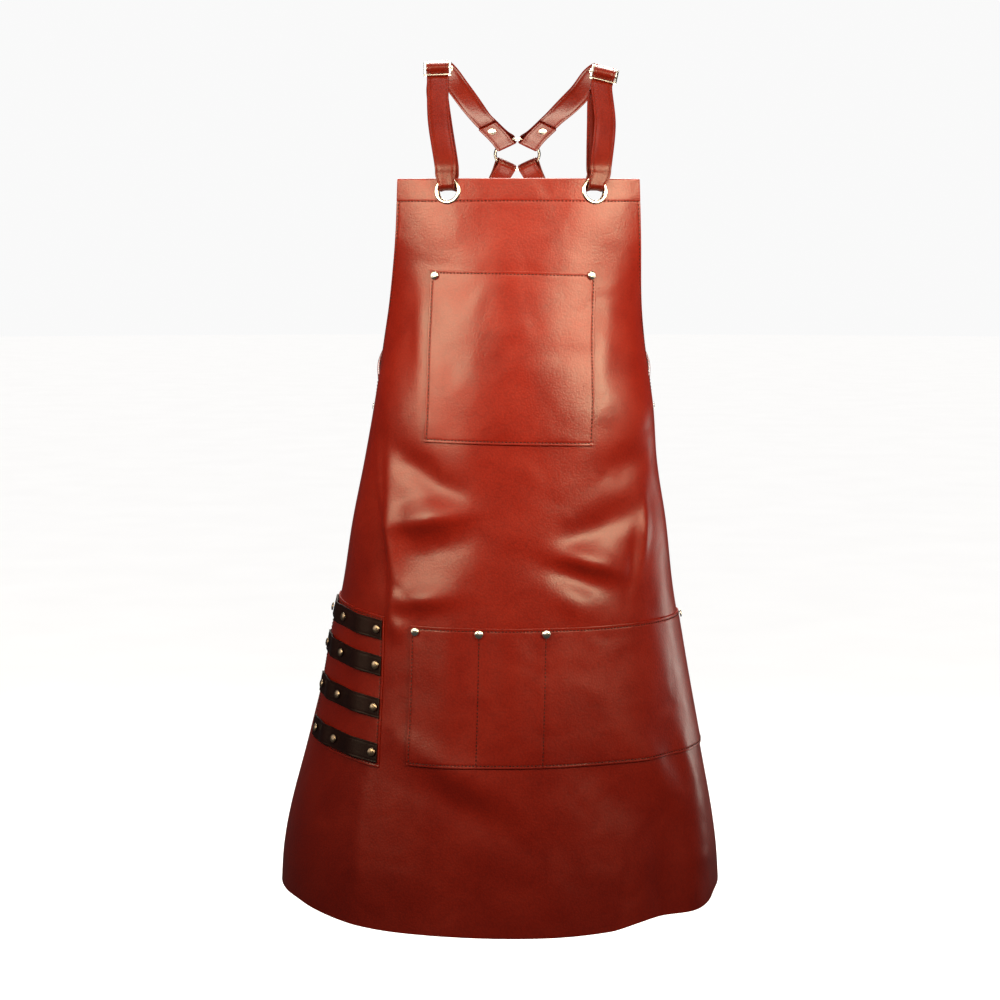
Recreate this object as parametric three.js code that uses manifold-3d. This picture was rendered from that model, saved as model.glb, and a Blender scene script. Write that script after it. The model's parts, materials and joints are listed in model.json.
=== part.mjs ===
// Leather cross-back apron in its worn form, in millimetres.
// +X runs to the right as seen from the front, -Y to the front and +Z up.
// The origin lies between the shoulders, level with the underside of the shoulder straps.
// A curved hide with a folded top hem carries a chest pocket, a three-part hip pocket and a panel of loops.
// Two straps hang it from grommets in the bib and run through sliders over the shoulders to a ring.
// Two more straps run from that ring round the back to the corners at the waist.
import * as THREE from "three";
import Module from "manifold-3d";
import { mergeVertices } from "three/addons/utils/BufferGeometryUtils.js";

const wasm = await Module();
wasm.setup();
const V3 = THREE.Vector3;
const RAD = Math.PI / 180;

// Hide
const APRON_LENGTH = 841;
const BIB_DROP = 131;
const BIB_HALF_WIDTH = 137.5;
const HEM_HALF_WIDTH = 261.5;
const BIB_REACH = 105;
const HEM_REACH = 215;
const WRAP_DEPTH = 185;
const HEM_LEAN = 21;
const HIDE = 2;
const HEM_CORNER = 16;
const HEM_RISE = 16;
const TOP_HEM = 28;
const TOP_HEM_GAP = 0.5;

// Gaps between pieces that touch
const FIT_GAP = 0.45;
const CAP_GAP = 0.65;
const PATCH_GAP = 0.7;
const HOLE_GAP = 0.35;

// Chest pocket
const CHEST_POCKET_WIDTH = 192.5;
const CHEST_POCKET_HEIGHT = 190;
const CHEST_POCKET_DROP = 104.5;
const CHEST_POCKET_DIP = 3;
const CHEST_POCKET_SHIFT = -4.5;
const POCKET_HIDE = 1.8;
const POCKET_GAPE = 2.6;

// Hip pocket, measured round the hide from its centre line
const HIP_POCKET_DROP = 500;
const HIP_POCKET_HEIGHT = 155;
const HIP_POCKET_START = -111;
const HIP_POCKET_SPLITS = [-31, 43.5];
const HIP_POCKET_EDGE_INSET = 10;

// Tool panel and its loops. The dip is how much lower the panel sits at its front end.
const TOOL_PANEL_DROP = 479;
const TOOL_PANEL_HEIGHT = 168;
const TOOL_PANEL_START = -265;
const TOOL_PANEL_WIDTH = 120;
const TOOL_PANEL_DIP = 14;
const TOOL_LOOP_WIDTH = 22;
const TOOL_LOOP_HIDE = 2.2;
const TOOL_LOOP_LIFT = 3;

// Shares of the panel's height at which the loops start, and of its width at which their rivets sit
const TOOL_LOOP_DROPS = [0.025, 0.265, 0.545, 0.84];
const TOOL_RIVETS = [0.12, 0.46, 0.935];

// Straps
const STRAP_WIDTH = 25;
const STRAP_HIDE = 2.2;
const HOLE_STRAP_RISE = 2.9;
const GROMMET_SPACING = 167.5;
const GROMMET_SHIFT = 3;
const GROMMET_DROP = 14.3;
const SLIDER_HALF_SPACING = 95;
const SLIDER_SHIFT = 4;
const SLIDER_REACH = 22;
const SLIDER_LEAN = 40;
const SLIDER_TAIL = 24;
const RING_TAIL = 38;
const RING_RIVET = 28;
const WAIST_DROP = 258;
const WAIST_STRAP_RISE = 28;
const WAIST_STRAP_SLACK = 1.4;
const WAIST_STRAP_BEND = 42;
const TORSO_HALF_WIDTH = 163;
const TORSO_BACK = 124;
const TORSO_TAPER = 0.14;

// Metal parts
const GROMMET_HOLE_RADIUS = 10.5;
const GROMMET_FLANGE_RADIUS = 15;
const GROMMET_WALL = 0.9;
const GROMMET_FLANGE = 1.2;
const GROMMET_STAND = 0.75;
const SLIDER_BAR_PITCH = 9.4;
const SLIDER_BAR_WIDTH = 2.6;
const SLIDER_PLATE = 2.4;
const SLIDER_SIDE = 3;
const SLIDER_KNOB_RADIUS = 2.4;
const SLIDER_KNOB_LENGTH = 2;
const RING_RADIUS = 26.8;
const RING_WIRE = 1.8;
const RING_DEPTH = 110;
const RING_DROP = 95;
const RING_SLOPE = 51;
const RING_STRAP_ANGLE = 35;
const RIVET_CAP_RADIUS = 4.4;
const RIVET_CAP_HEIGHT = 2;
const RIVET_SHANK_RADIUS = 1.5;
const RIVET_WASHER = 0.8;
const RIVET_SIDES = 6;
const WASHER_SHARE = 0.9;
const DOME_SHARE = { radius: 0.72, height: 0.8 };

// How the two shoulders differ, as the worn apron hangs, in millimetres and degrees.
// drop and roll: how low the slider sits and how far it is turned.
// inset and crest: how far in the strap has turned behind the shoulder, and how high it runs over it.
// bow and shift: how far out its front leg lies, and how far in its other leg.
const SHOULDERS = [
  { name: "left", side: -1, drop: 2.4, roll: 2, inset: 10, crest: 5, bow: 1.5, shift: 3 },
  { name: "right", side: 1, drop: 10.3, roll: -14, inset: 8, crest: -1.5, bow: 4, shift: 6.5 },
];

// Where the waist straps lie on the torso. round: degrees from the middle of the back.
// share: how far down from the ring to the rivet at the waist.
const WAIST_PATH = [
  { round: 26, share: 0.43, steps: 2 },
  { round: 44, share: 0.6, steps: 2 },
  { round: 62, share: 0.75, steps: 2 },
  { round: 80, share: 0.86, steps: 2 },
];

// Cross sections of the hide from the bib's top to the hem.
// at: share of the apron's length.
// spread and reach: the half width and the reach to the front, from 0 as at the bib's top to 1 as at the hem.
// sag: share of the wrap depth. turn: degrees that the section turns on each side.
// lean: share of the hem's lean.
const SECTIONS = [
  { at: 0, spread: 0, reach: 0, sag: 0.16, turn: 38, lean: 0 },
  { at: 0.08, spread: 0.02, reach: 0.1, sag: 0.22, turn: 48, lean: 0.02 },
  { at: 0.162, spread: 0.056, reach: 0.2, sag: 0.34, turn: 64, lean: 0.15 },
  { at: 0.216, spread: 0.1, reach: 0.27, sag: 0.41, turn: 78, lean: 0.22 },
  { at: 0.305, spread: 0.187, reach: 0.37, sag: 0.5, turn: 97, lean: 0.25 },
  { at: 0.383, spread: 0.258, reach: 0.43, sag: 0.58, turn: 98, lean: 0.41 },
  { at: 0.468, spread: 0.364, reach: 0.5, sag: 0.67, turn: 98, lean: 0.49 },
  { at: 0.555, spread: 0.448, reach: 0.58, sag: 0.78, turn: 98, lean: 0.57 },
  { at: 0.615, spread: 0.53, reach: 0.63, sag: 0.87, turn: 98, lean: 0.64 },
  { at: 0.7, spread: 0.641, reach: 0.71, sag: 0.93, turn: 98, lean: 0.71 },
  { at: 0.787, spread: 0.771, reach: 0.79, sag: 0.96, turn: 97, lean: 0.82 },
  { at: 0.873, spread: 0.904, reach: 0.87, sag: 0.98, turn: 96, lean: 0.95 },
  { at: 0.93, spread: 0.965, reach: 0.93, sag: 0.99, turn: 95, lean: 1 },
  { at: 1, spread: 0.996, reach: 1, sag: 1, turn: 93, lean: 1 },
];

// The hem's line. at: share of the way round from the centre line, negative to the left.
// rise: share of the hem's rise.
const HEM_LINE = [
  { at: -1, rise: 1.3 },
  { at: -0.84, rise: 1.02 },
  { at: -0.75, rise: 0.91 },
  { at: -0.66, rise: 0.62 },
  { at: -0.51, rise: 0.25 },
  { at: -0.35, rise: 0.03 },
  { at: 0, rise: -0.16 },
  { at: 0.35, rise: -0.04 },
  { at: 0.46, rise: 0.31 },
  { at: 0.54, rise: 0.42 },
  { at: 0.69, rise: 0.3 },
  { at: 0.78, rise: 0.55 },
  { at: 0.84, rise: 1.02 },
  { at: 1, rise: 1.4 },
];

// Folds and dents of the hide. across: share of the hem's half width, round the hide from its centre line.
// at: share of the length. run and wide: half length and half width as shares of the apron's length.
// slant: degrees that the fold's run leans from straight down, towards +X. lift: share of the fold depth.
const FOLD_DEPTH = 9;
const FOLDS = [
  { across: -0.54, at: 0.48, run: 0.089, wide: 0.017, slant: 5, lift: 0.5 },
  { across: -0.38, at: 0.394, run: 0.064, wide: 0.02, slant: 58, lift: -0.6 },
  { across: -0.36, at: 0.453, run: 0.055, wide: 0.021, slant: 100, lift: 0.8 },
  { across: -0.33, at: 0.495, run: 0.05, wide: 0.024, slant: 109, lift: -0.6 },
  { across: -0.38, at: 0.56, run: 0.045, wide: 0.019, slant: 97, lift: 0.7 },
  { across: 0.5, at: 0.386, run: 0.036, wide: 0.022, slant: 114, lift: -0.45 },
  { across: 0.42, at: 0.461, run: 0.069, wide: 0.022, slant: 109, lift: -0.6 },
  { across: 0.35, at: 0.51, run: 0.05, wide: 0.02, slant: 73, lift: 0.8 },
  { across: 0.31, at: 0.533, run: 0.06, wide: 0.018, slant: 70, lift: -0.5 },
  { across: 0.29, at: 0.562, run: 0.041, wide: 0.018, slant: 60, lift: 0.5 },
  { across: 0.63, at: 0.459, run: 0.035, wide: 0.017, slant: -2, lift: 0.4 },
  { across: 0.98, at: 0.89, run: 0.16, wide: 0.04, slant: 0, lift: 0.5 },
  { across: 0.78, at: 0.94, run: 0.12, wide: 0.035, slant: 0, lift: -0.7 },
  { across: -0.1, at: 0.95, run: 0.1, wide: 0.08, slant: 0, lift: -0.4 },
  { across: -0.6, at: 0.96, run: 0.13, wide: 0.07, slant: 0, lift: 0.4 },
];

// A column of a table at a share of the length, on a smooth curve through its rows.
function column(rows, name, at) {
  const last = rows.length - 1;
  let i = rows.findIndex((row) => row.at > at) - 1;
  if (i < 0) i = at <= rows[0].at ? 0 : last - 1;
  const [a, b] = [rows[i], rows[i + 1]];
  const before = rows[Math.max(i - 1, 0)];
  const after = rows[Math.min(i + 2, last)];
  const span = b.at - a.at;
  const k = Math.min(Math.max((at - a.at) / span, 0), 1);
  const slopeA = ((b[name] - before[name]) / (b.at - before.at)) * span;
  const slopeB = ((after[name] - a[name]) / (after.at - a.at)) * span;
  const k2 = k * k;
  const k3 = k2 * k;
  return (
    (2 * k3 - 3 * k2 + 1) * a[name] +
    (k3 - 2 * k2 + k) * slopeA +
    (3 * k2 - 2 * k3) * b[name] +
    (k3 - k2) * slopeB
  );
}

function sectionAt(at) {
  const spread = column(SECTIONS, "spread", at);
  const reach = column(SECTIONS, "reach", at);
  return {
    half: BIB_HALF_WIDTH + (HEM_HALF_WIDTH - BIB_HALF_WIDTH) * spread,
    front: BIB_REACH + (HEM_REACH - BIB_REACH) * reach,
    sag: WRAP_DEPTH * column(SECTIONS, "sag", at),
    turn: column(SECTIONS, "turn", at) * RAD,
    lean: -HEM_LEAN * column(SECTIONS, "lean", at),
  };
}

// A point of one section without folds. t runs from -1 at the left edge to 1 at the right edge.
function onSection(section, t) {
  const angle = t * section.turn;
  const widest = Math.sin(Math.min(section.turn, 90 * RAD));
  return {
    x: section.lean + (section.half * Math.sin(angle)) / widest,
    y: -section.front + (section.sag * (1 - Math.cos(angle))) / (1 - Math.cos(section.turn)),
  };
}

// Arc length of a section from the centre line to t = 0..1, in steps.
const ARC_STEPS = 60;
const arcs = new Map();
function arcTable(at) {
  if (!arcs.has(at)) {
    const section = sectionAt(at);
    const lengths = [0];
    let before = onSection(section, 0);
    for (let i = 1; i <= ARC_STEPS; i++) {
      const point = onSection(section, i / ARC_STEPS);
      lengths.push(lengths[i - 1] + Math.hypot(point.x - before.x, point.y - before.y));
      before = point;
    }
    arcs.set(at, lengths);
  }
  return arcs.get(at);
}

function arcOf(t, at) {
  const lengths = arcTable(at);
  const place = Math.abs(t) * ARC_STEPS;
  const i = Math.min(Math.floor(place), ARC_STEPS - 1);
  return Math.sign(t) * (lengths[i] + (lengths[i + 1] - lengths[i]) * (place - i));
}

function turnOf(arc, at) {
  const lengths = arcTable(at);
  const target = Math.abs(arc);
  let i = lengths.findIndex((length) => length > target) - 1;
  if (i < 0) i = ARC_STEPS - 1;
  const t = (i + (target - lengths[i]) / (lengths[i + 1] - lengths[i])) / ARC_STEPS;
  return Math.sign(arc) * t;
}

const edgeArc = (at) => arcTable(at)[ARC_STEPS];

function foldLift(arc, at) {
  let lift = 0;
  for (const fold of FOLDS) {
    const dx = (arc - fold.across * HEM_HALF_WIDTH) / APRON_LENGTH;
    const dz = at - fold.at;
    const c = Math.cos(fold.slant * RAD);
    const s = Math.sin(fold.slant * RAD);
    const along = (dz * c + dx * s) / fold.run;
    const over = (dx * c - dz * s) / fold.wide;
    lift += fold.lift * FOLD_DEPTH * Math.exp(-along * along - over * over);
  }
  return lift;
}

// The outer face of the hide at t and a share of the length, folds included.
const STEP = 0.004;
function hidePoint(t, at) {
  const section = sectionAt(at);
  const point = onSection(section, t);
  const ahead = onSection(section, t + STEP / 2);
  const out = new V3(ahead.y - point.y, point.x - ahead.x, 0).normalize();
  const lift = foldLift(arcOf(t, at), at);
  return new V3(point.x, point.y, -BIB_DROP - at * APRON_LENGTH).addScaledVector(out, lift);
}

function hideNormal(t, at) {
  const acrossHide = hidePoint(t + STEP, at).sub(hidePoint(t - STEP, at));
  const above = Math.max(at - STEP, 0);
  const downHide = hidePoint(t, at + STEP).sub(hidePoint(t, above));
  return downHide.cross(acrossHide).normalize();
}

// A seat on the hide at an arc length from the centre line and a drop below the bib's top.
function seatAt(arc, drop) {
  const at = drop / APRON_LENGTH;
  const t = turnOf(arc, at);
  return { point: hidePoint(t, at), normal: hideNormal(t, at) };
}

// A closed sheet from a grid of { outer, inner } points, outer face first seen.
function sheetGeometry(grid) {
  const rows = grid.length;
  const columns = grid[0].length;
  const position = [];
  const index = [];
  for (const row of grid) for (const cell of row) position.push(...cell.outer.toArray());
  for (const row of grid) for (const cell of row) position.push(...cell.inner.toArray());
  const outer = (r, c) => r * columns + c;
  const inner = (r, c) => rows * columns + r * columns + c;
  const quad = (a, b, c, d) => index.push(a, b, c, a, c, d);
  for (let r = 0; r < rows - 1; r++) {
    for (let c = 0; c < columns - 1; c++) {
      quad(outer(r, c), outer(r + 1, c), outer(r + 1, c + 1), outer(r, c + 1));
      quad(inner(r, c), inner(r, c + 1), inner(r + 1, c + 1), inner(r + 1, c));
    }
    quad(outer(r, 0), inner(r, 0), inner(r + 1, 0), outer(r + 1, 0));
    const c = columns - 1;
    quad(outer(r, c), outer(r + 1, c), inner(r + 1, c), inner(r, c));
  }
  for (let c = 0; c < columns - 1; c++) {
    quad(outer(0, c), outer(0, c + 1), inner(0, c + 1), inner(0, c));
    const r = rows - 1;
    quad(outer(r, c), inner(r, c), inner(r, c + 1), outer(r, c + 1));
  }
  const geometry = new THREE.BufferGeometry();
  geometry.setAttribute("position", new THREE.Float32BufferAttribute(position, 3));
  geometry.setIndex(index);
  return geometry;
}

// Solids for cutting and joining
function toSolid(geometry) {
  const plain = geometry.index ? geometry.toNonIndexed() : geometry.clone();
  for (const name of ["normal", "uv"]) plain.deleteAttribute(name);
  const merged = mergeVertices(plain, 1e-4);
  return new wasm.Manifold(
    new wasm.Mesh({
      numProp: 3,
      vertProperties: merged.getAttribute("position").array,
      triVerts: new Uint32Array(merged.index.array),
    }),
  );
}

function fromSolid(solid) {
  const mesh = solid.getMesh();
  const geometry = new THREE.BufferGeometry();
  const position = new Float32Array(mesh.numVert * 3);
  for (let i = 0; i < mesh.numVert; i++) {
    position.set(mesh.vertProperties.subarray(i * mesh.numProp, i * mesh.numProp + 3), i * 3);
  }
  geometry.setAttribute("position", new THREE.BufferAttribute(position, 3));
  geometry.setIndex(new THREE.BufferAttribute(mesh.triVerts, 1));
  return geometry;
}

// A turned shape stood on a point with its axis along a normal.
function stand(geometry, point, normal) {
  const turn = new THREE.Quaternion().setFromUnitVectors(new V3(0, 1, 0), normal);
  return geometry.applyMatrix4(new THREE.Matrix4().compose(point, turn, new V3(1, 1, 1)));
}

function pierced(geometry, holes) {
  let solid = toSolid(geometry);
  for (const hole of holes) {
    const rod = new THREE.CylinderGeometry(hole.radius, hole.radius, hole.depth, hole.sides);
    solid = solid.subtract(toSolid(stand(rod, hole.point, hole.normal)));
  }
  return fromSolid(solid);
}

// Materials
const leather = new THREE.MeshStandardMaterial({ color: 0xa83c26, roughness: 0.42, metalness: 0 });
const strapLeather = new THREE.MeshStandardMaterial({ color: 0xa63420, roughness: 0.45, metalness: 0 });
const darkLeather = new THREE.MeshStandardMaterial({ color: 0x2b1614, roughness: 0.55, metalness: 0 });
const nickel = new THREE.MeshStandardMaterial({ color: 0xd9d2c6, roughness: 0.2, metalness: 1 });
const oldBrass = new THREE.MeshStandardMaterial({ color: 0xa98468, roughness: 0.35, metalness: 1 });

const apron = new THREE.Group();
function addPiece(name, geometry, material) {
  const mesh = new THREE.Mesh(geometry, material);
  mesh.name = name;
  apron.add(mesh);
}

// Rivets: a domed cap, a shank through the layers and a washer on the far side.
// point lies on the top face of the layers, and stack is their thickness, gaps between them included.
function addRivet(name, point, normal, stack, material, scale = 1) {
  const cap = RIVET_CAP_RADIUS * scale;
  const washer = cap * WASHER_SHARE;
  const back = -stack - CAP_GAP;
  const profile = [
    [0, back - RIVET_WASHER],
    [washer, back - RIVET_WASHER],
    [washer, back],
    [RIVET_SHANK_RADIUS, back],
    [RIVET_SHANK_RADIUS, CAP_GAP],
    [cap, CAP_GAP],
    [cap * DOME_SHARE.radius, CAP_GAP + RIVET_CAP_HEIGHT * DOME_SHARE.height],
    [0, CAP_GAP + RIVET_CAP_HEIGHT],
  ].map(([radius, height]) => new THREE.Vector2(radius, height));
  addPiece(name, stand(new THREE.LatheGeometry(profile, RIVET_SIDES), point, normal), material);
}

const HOLE_SIDES = 5;
function rivetHole(point, normal) {
  const radius = (RIVET_SHANK_RADIUS + HOLE_GAP) / Math.cos(Math.PI / HOLE_SIDES);
  return { point, normal, radius, depth: 6 * (HIDE + POCKET_HIDE), sides: HOLE_SIDES };
}

// Where a grommet sits in the bib's top hem
const hemStack = 2 * HIDE + TOP_HEM_GAP;
function grommetSeat(side) {
  return seatAt(GROMMET_SHIFT + (side * GROMMET_SPACING) / 2, GROMMET_DROP);
}

const GROMMET_SIDES = 16;
function addGrommet(name, side) {
  const seat = grommetSeat(side);
  const barrel = GROMMET_HOLE_RADIUS + GROMMET_WALL;
  const front = GROMMET_STAND;
  const back = -hemStack - GROMMET_STAND;
  const rim = GROMMET_FLANGE_RADIUS;
  const profile = [
    [GROMMET_HOLE_RADIUS, back - GROMMET_FLANGE],
    [rim, back - GROMMET_FLANGE],
    [rim, back],
    [barrel, back],
    [barrel, front],
    [rim, front],
    [rim - GROMMET_FLANGE, front + GROMMET_FLANGE],
    [GROMMET_HOLE_RADIUS + GROMMET_FLANGE, front + GROMMET_FLANGE],
    [GROMMET_HOLE_RADIUS, front],
    [GROMMET_HOLE_RADIUS, back - GROMMET_FLANGE],
  ].map(([radius, height]) => new THREE.Vector2(radius, height));
  const shape = new THREE.LatheGeometry(profile, GROMMET_SIDES);
  addPiece(name, stand(shape, seat.point, seat.normal), nickel);
}

// Patches sewn on the hide: a grid between two arcs and two drops, lifted off the hide inside its seams
function patchGrid(patch, layerBelow, thick) {
  const grid = [];
  for (let r = 0; r <= patch.rows; r++) {
    const down = r / patch.rows;
    const level = patch.drop + patch.height * down;
    const [start, end] = patch.span(level / APRON_LENGTH);
    const row = [];
    for (const along of patch.shares(start, end)) {
      const seat = seatAt(start + (end - start) * along, level + patch.dip * along);
      const base = layerBelow + PATCH_GAP + patch.lift(along, down);
      const inner = seat.point.clone().addScaledVector(seat.normal, base);
      const outer = seat.point.clone().addScaledVector(seat.normal, base + thick);
      row.push({ outer, inner });
    }
    grid.push(row);
  }
  return grid;
}

const evenShares = (columns) => Array.from({ length: columns + 1 }, (_, c) => c / columns);

// A bulge from 0 to 1 and back, flat near both ends for seams and rivets
const FLAT_END = 0.1;
function hump(share) {
  const inside = (share - FLAT_END) / (1 - 2 * FLAT_END);
  return Math.sin(Math.PI * Math.min(Math.max(inside, 0), 1)) ** 2;
}

const chestPocket = {
  drop: CHEST_POCKET_DROP,
  dip: CHEST_POCKET_DIP,
  height: CHEST_POCKET_HEIGHT,
  rows: 7,
  shares: () => evenShares(10),
  span: () => [
    CHEST_POCKET_SHIFT - CHEST_POCKET_WIDTH / 2,
    CHEST_POCKET_SHIFT + CHEST_POCKET_WIDTH / 2,
  ],
  lift: (along, down) => POCKET_GAPE * hump(along) * (1 - down ** 2),
};

const HIP_POCKET_CELLS = [6, 6, 14];
const hipPocketEnd = (at) => edgeArc(at) - HIP_POCKET_EDGE_INSET;
const hipPocket = {
  drop: HIP_POCKET_DROP,
  dip: 0,
  height: HIP_POCKET_HEIGHT,
  rows: 6,
  shares: (start, end) => {
    const seams = [start, ...HIP_POCKET_SPLITS, end];
    const cells = HIP_POCKET_CELLS.flatMap((columns, i) =>
      evenShares(columns).slice(0, -1).map((share) => seams[i] + (seams[i + 1] - seams[i]) * share),
    );
    return [...cells, end].map((arc) => (arc - start) / (end - start));
  },
  span: (at) => [HIP_POCKET_START, hipPocketEnd(at)],
  lift: (along, down) => {
    const at = (HIP_POCKET_DROP + HIP_POCKET_HEIGHT * down) / APRON_LENGTH;
    const end = hipPocketEnd(at);
    const arc = HIP_POCKET_START + (end - HIP_POCKET_START) * along;
    const seams = [HIP_POCKET_START, ...HIP_POCKET_SPLITS, end];
    const i = Math.max(seams.findLastIndex((seam) => seam <= arc + 1e-9), 0);
    const next = Math.min(i + 1, seams.length - 1);
    const share = next > i ? (arc - seams[i]) / (seams[next] - seams[i]) : 0;
    return POCKET_GAPE * hump(share) * (1 - down ** 2);
  },
};

const toolPanel = {
  drop: TOOL_PANEL_DROP,
  dip: TOOL_PANEL_DIP,
  height: TOOL_PANEL_HEIGHT,
  rows: 6,
  shares: () => evenShares(9),
  span: () => [TOOL_PANEL_START, TOOL_PANEL_START + TOOL_PANEL_WIDTH],
  lift: () => 0,
};

// Tool loops: level straps across the panel, standing off it between their rivets
const TOOL_LOOP_INSET = 2;
const panelStack = POCKET_HIDE + PATCH_GAP;
const loopStack = panelStack + TOOL_LOOP_HIDE + PATCH_GAP;
function toolLoop(share) {
  return {
    drop: TOOL_PANEL_DROP + TOOL_PANEL_HEIGHT * share,
    dip: TOOL_PANEL_DIP,
    height: TOOL_LOOP_WIDTH,
    rows: 1,
    shares: () => evenShares(12),
    span: () => [
      TOOL_PANEL_START + TOOL_LOOP_INSET,
      TOOL_PANEL_START + TOOL_PANEL_WIDTH - TOOL_LOOP_INSET,
    ],
    lift: (along) => {
      const next = TOOL_RIVETS.findIndex((place) => place > along);
      if (next < 1) return 0;
      const [from, to] = [TOOL_RIVETS[next - 1], TOOL_RIVETS[next]];
      return TOOL_LOOP_LIFT * hump((along - from) / (to - from));
    },
  };
}

// Rivet seats: on which arc and drop, and how thick the layers are above and below the hide's outer face
const RIVET_INSET = 6.5;
const rivetSeats = [];
function seatRivet(name, arc, drop, layers, material) {
  rivetSeats.push({ name, seat: seatAt(arc, drop), layers, material });
}

const chestEdges = chestPocket.span();
const chestTop = CHEST_POCKET_DROP + RIVET_INSET;
seatRivet("chest_rivet_left", chestEdges[0] + RIVET_INSET, chestTop, panelStack, nickel);
seatRivet("chest_rivet_right", chestEdges[1] - RIVET_INSET, chestTop, panelStack, nickel);
const hipTop = HIP_POCKET_DROP + RIVET_INSET;
const hipRivetArcs = [
  HIP_POCKET_START + RIVET_INSET,
  ...HIP_POCKET_SPLITS,
  hipPocketEnd(hipTop / APRON_LENGTH) - RIVET_INSET,
];
hipRivetArcs.forEach((arc, i) => seatRivet(`hip_rivet_${i + 1}`, arc, hipTop, panelStack, nickel));
TOOL_LOOP_DROPS.forEach((share, i) => {
  const drop = TOOL_PANEL_DROP + TOOL_PANEL_HEIGHT * share + TOOL_LOOP_WIDTH / 2;
  TOOL_RIVETS.forEach((place, j) =>
    seatRivet(
      `tool_rivet_${i + 1}_${j + 1}`,
      TOOL_PANEL_START + TOOL_PANEL_WIDTH * place,
      drop + TOOL_PANEL_DIP * place,
      loopStack,
      oldBrass,
    ),
  );
});
function holesOf(prefix) {
  const seats = rivetSeats.filter(({ name }) => name.startsWith(prefix));
  return seats.map(({ seat }) => rivetHole(seat.point, seat.normal));
}

// Where a waist strap is riveted inside the hide's corner
const WAIST_RIVET_INSET = 13;
const WAIST_END = [1, 0.31, -0.31, -0.85];
function waistSeat(side) {
  const at = WAIST_DROP / APRON_LENGTH;
  return seatAt(side * (edgeArc(at) - WAIST_RIVET_INSET), WAIST_DROP);
}

// The hide: front rows from the hem up, the fold at the top and the flap behind it
const HIDE_COLUMNS = 26;
const HIDE_BANDS = [
  { to: 0, rows: 0 },
  { to: 0.33, rows: 7 },
  { to: 0.6, rows: 12 },
  { to: 1, rows: 6 },
];
const FOLD_ROWS = 3;
const FLAP_ROWS = 1;
function hemRise(arc) {
  const edge = edgeArc(1);
  const inside = Math.max(HEM_CORNER - edge + Math.abs(arc), 0);
  const corner = HEM_CORNER - Math.sqrt(HEM_CORNER ** 2 - inside ** 2);
  return corner + HEM_RISE * column(HEM_LINE, "rise", arc / edge);
}

function hideGrid() {
  const grid = [];
  const topTurn = HIDE + TOP_HEM_GAP / 2;
  const ts = Array.from({ length: HIDE_COLUMNS + 1 }, (_, c) => (2 * c) / HIDE_COLUMNS - 1);
  const topOf = topTurn / APRON_LENGTH;
  for (let r = 0; r <= FLAP_ROWS; r++) {
    const drop = TOP_HEM - (TOP_HEM - topTurn) * (r / FLAP_ROWS);
    grid.push(
      ts.map((t) => {
        const point = hidePoint(t, drop / APRON_LENGTH);
        const normal = hideNormal(t, drop / APRON_LENGTH);
        return {
          outer: point.clone().addScaledVector(normal, -hemStack),
          inner: point.clone().addScaledVector(normal, -HIDE - TOP_HEM_GAP),
        };
      }),
    );
  }
  for (let r = 1; r < FOLD_ROWS; r++) {
    const angle = Math.PI * (1 - r / FOLD_ROWS);
    grid.push(
      ts.map((t) => {
        const point = hidePoint(t, topOf);
        const normal = hideNormal(t, topOf);
        const centre = point.clone().addScaledVector(normal, -topTurn);
        const spoke = normal.clone().multiplyScalar(Math.cos(angle));
        spoke.z += Math.sin(angle);
        return {
          outer: centre.clone().addScaledVector(spoke, topTurn),
          inner: centre.clone().addScaledVector(spoke, TOP_HEM_GAP / 2),
        };
      }),
    );
  }
  const downs = [0];
  for (let i = 1; i < HIDE_BANDS.length; i++) {
    const [from, { to, rows }] = [HIDE_BANDS[i - 1].to, HIDE_BANDS[i]];
    for (let r = 1; r <= rows; r++) downs.push(from + ((to - from) * r) / rows);
  }
  for (const down of downs) {
    grid.push(
      ts.map((t) => {
        const rise = (hemRise(arcOf(t, 1)) / APRON_LENGTH) * down ** 3;
        const at = topOf + (1 - topOf) * down - rise;
        const point = hidePoint(t, at);
        return { outer: point, inner: point.clone().addScaledVector(hideNormal(t, at), -HIDE) };
      }),
    );
  }
  return grid;
}

const grommetHoles = SHOULDERS.map(({ side }) => {
  const seat = grommetSeat(side);
  const radius = GROMMET_HOLE_RADIUS + GROMMET_WALL + HOLE_GAP;
  return { ...seat, radius, depth: 6 * hemStack, sides: GROMMET_SIDES };
});
const waistHoles = SHOULDERS.map(({ side }) => {
  const seat = waistSeat(side);
  return rivetHole(seat.point, seat.normal);
});
const hideHoles = [...holesOf(""), ...grommetHoles, ...waistHoles];
addPiece("apron_hide", pierced(sheetGeometry(hideGrid()), hideHoles), leather);

function addPatch(name, patch, rivets, layerBelow, thick, material) {
  const sheet = sheetGeometry(patchGrid(patch, layerBelow, thick));
  addPiece(name, pierced(sheet, holesOf(rivets)), material);
}
addPatch("chest_pocket", chestPocket, "chest", 0, POCKET_HIDE, leather);
addPatch("hip_pocket", hipPocket, "hip", 0, POCKET_HIDE, leather);
addPatch("tool_panel", toolPanel, "tool", 0, POCKET_HIDE, leather);
TOOL_LOOP_DROPS.forEach((share, i) => {
  const number = i + 1;
  const rivets = `tool_rivet_${number}_`;
  addPatch(`tool_loop_${number}`, toolLoop(share), rivets, panelStack, TOOL_LOOP_HIDE, darkLeather);
});
for (const { name, seat, layers, material } of rivetSeats) {
  const top = seat.point.clone().addScaledVector(seat.normal, layers);
  addRivet(name, top, seat.normal, layers + HIDE, material);
}

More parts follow.
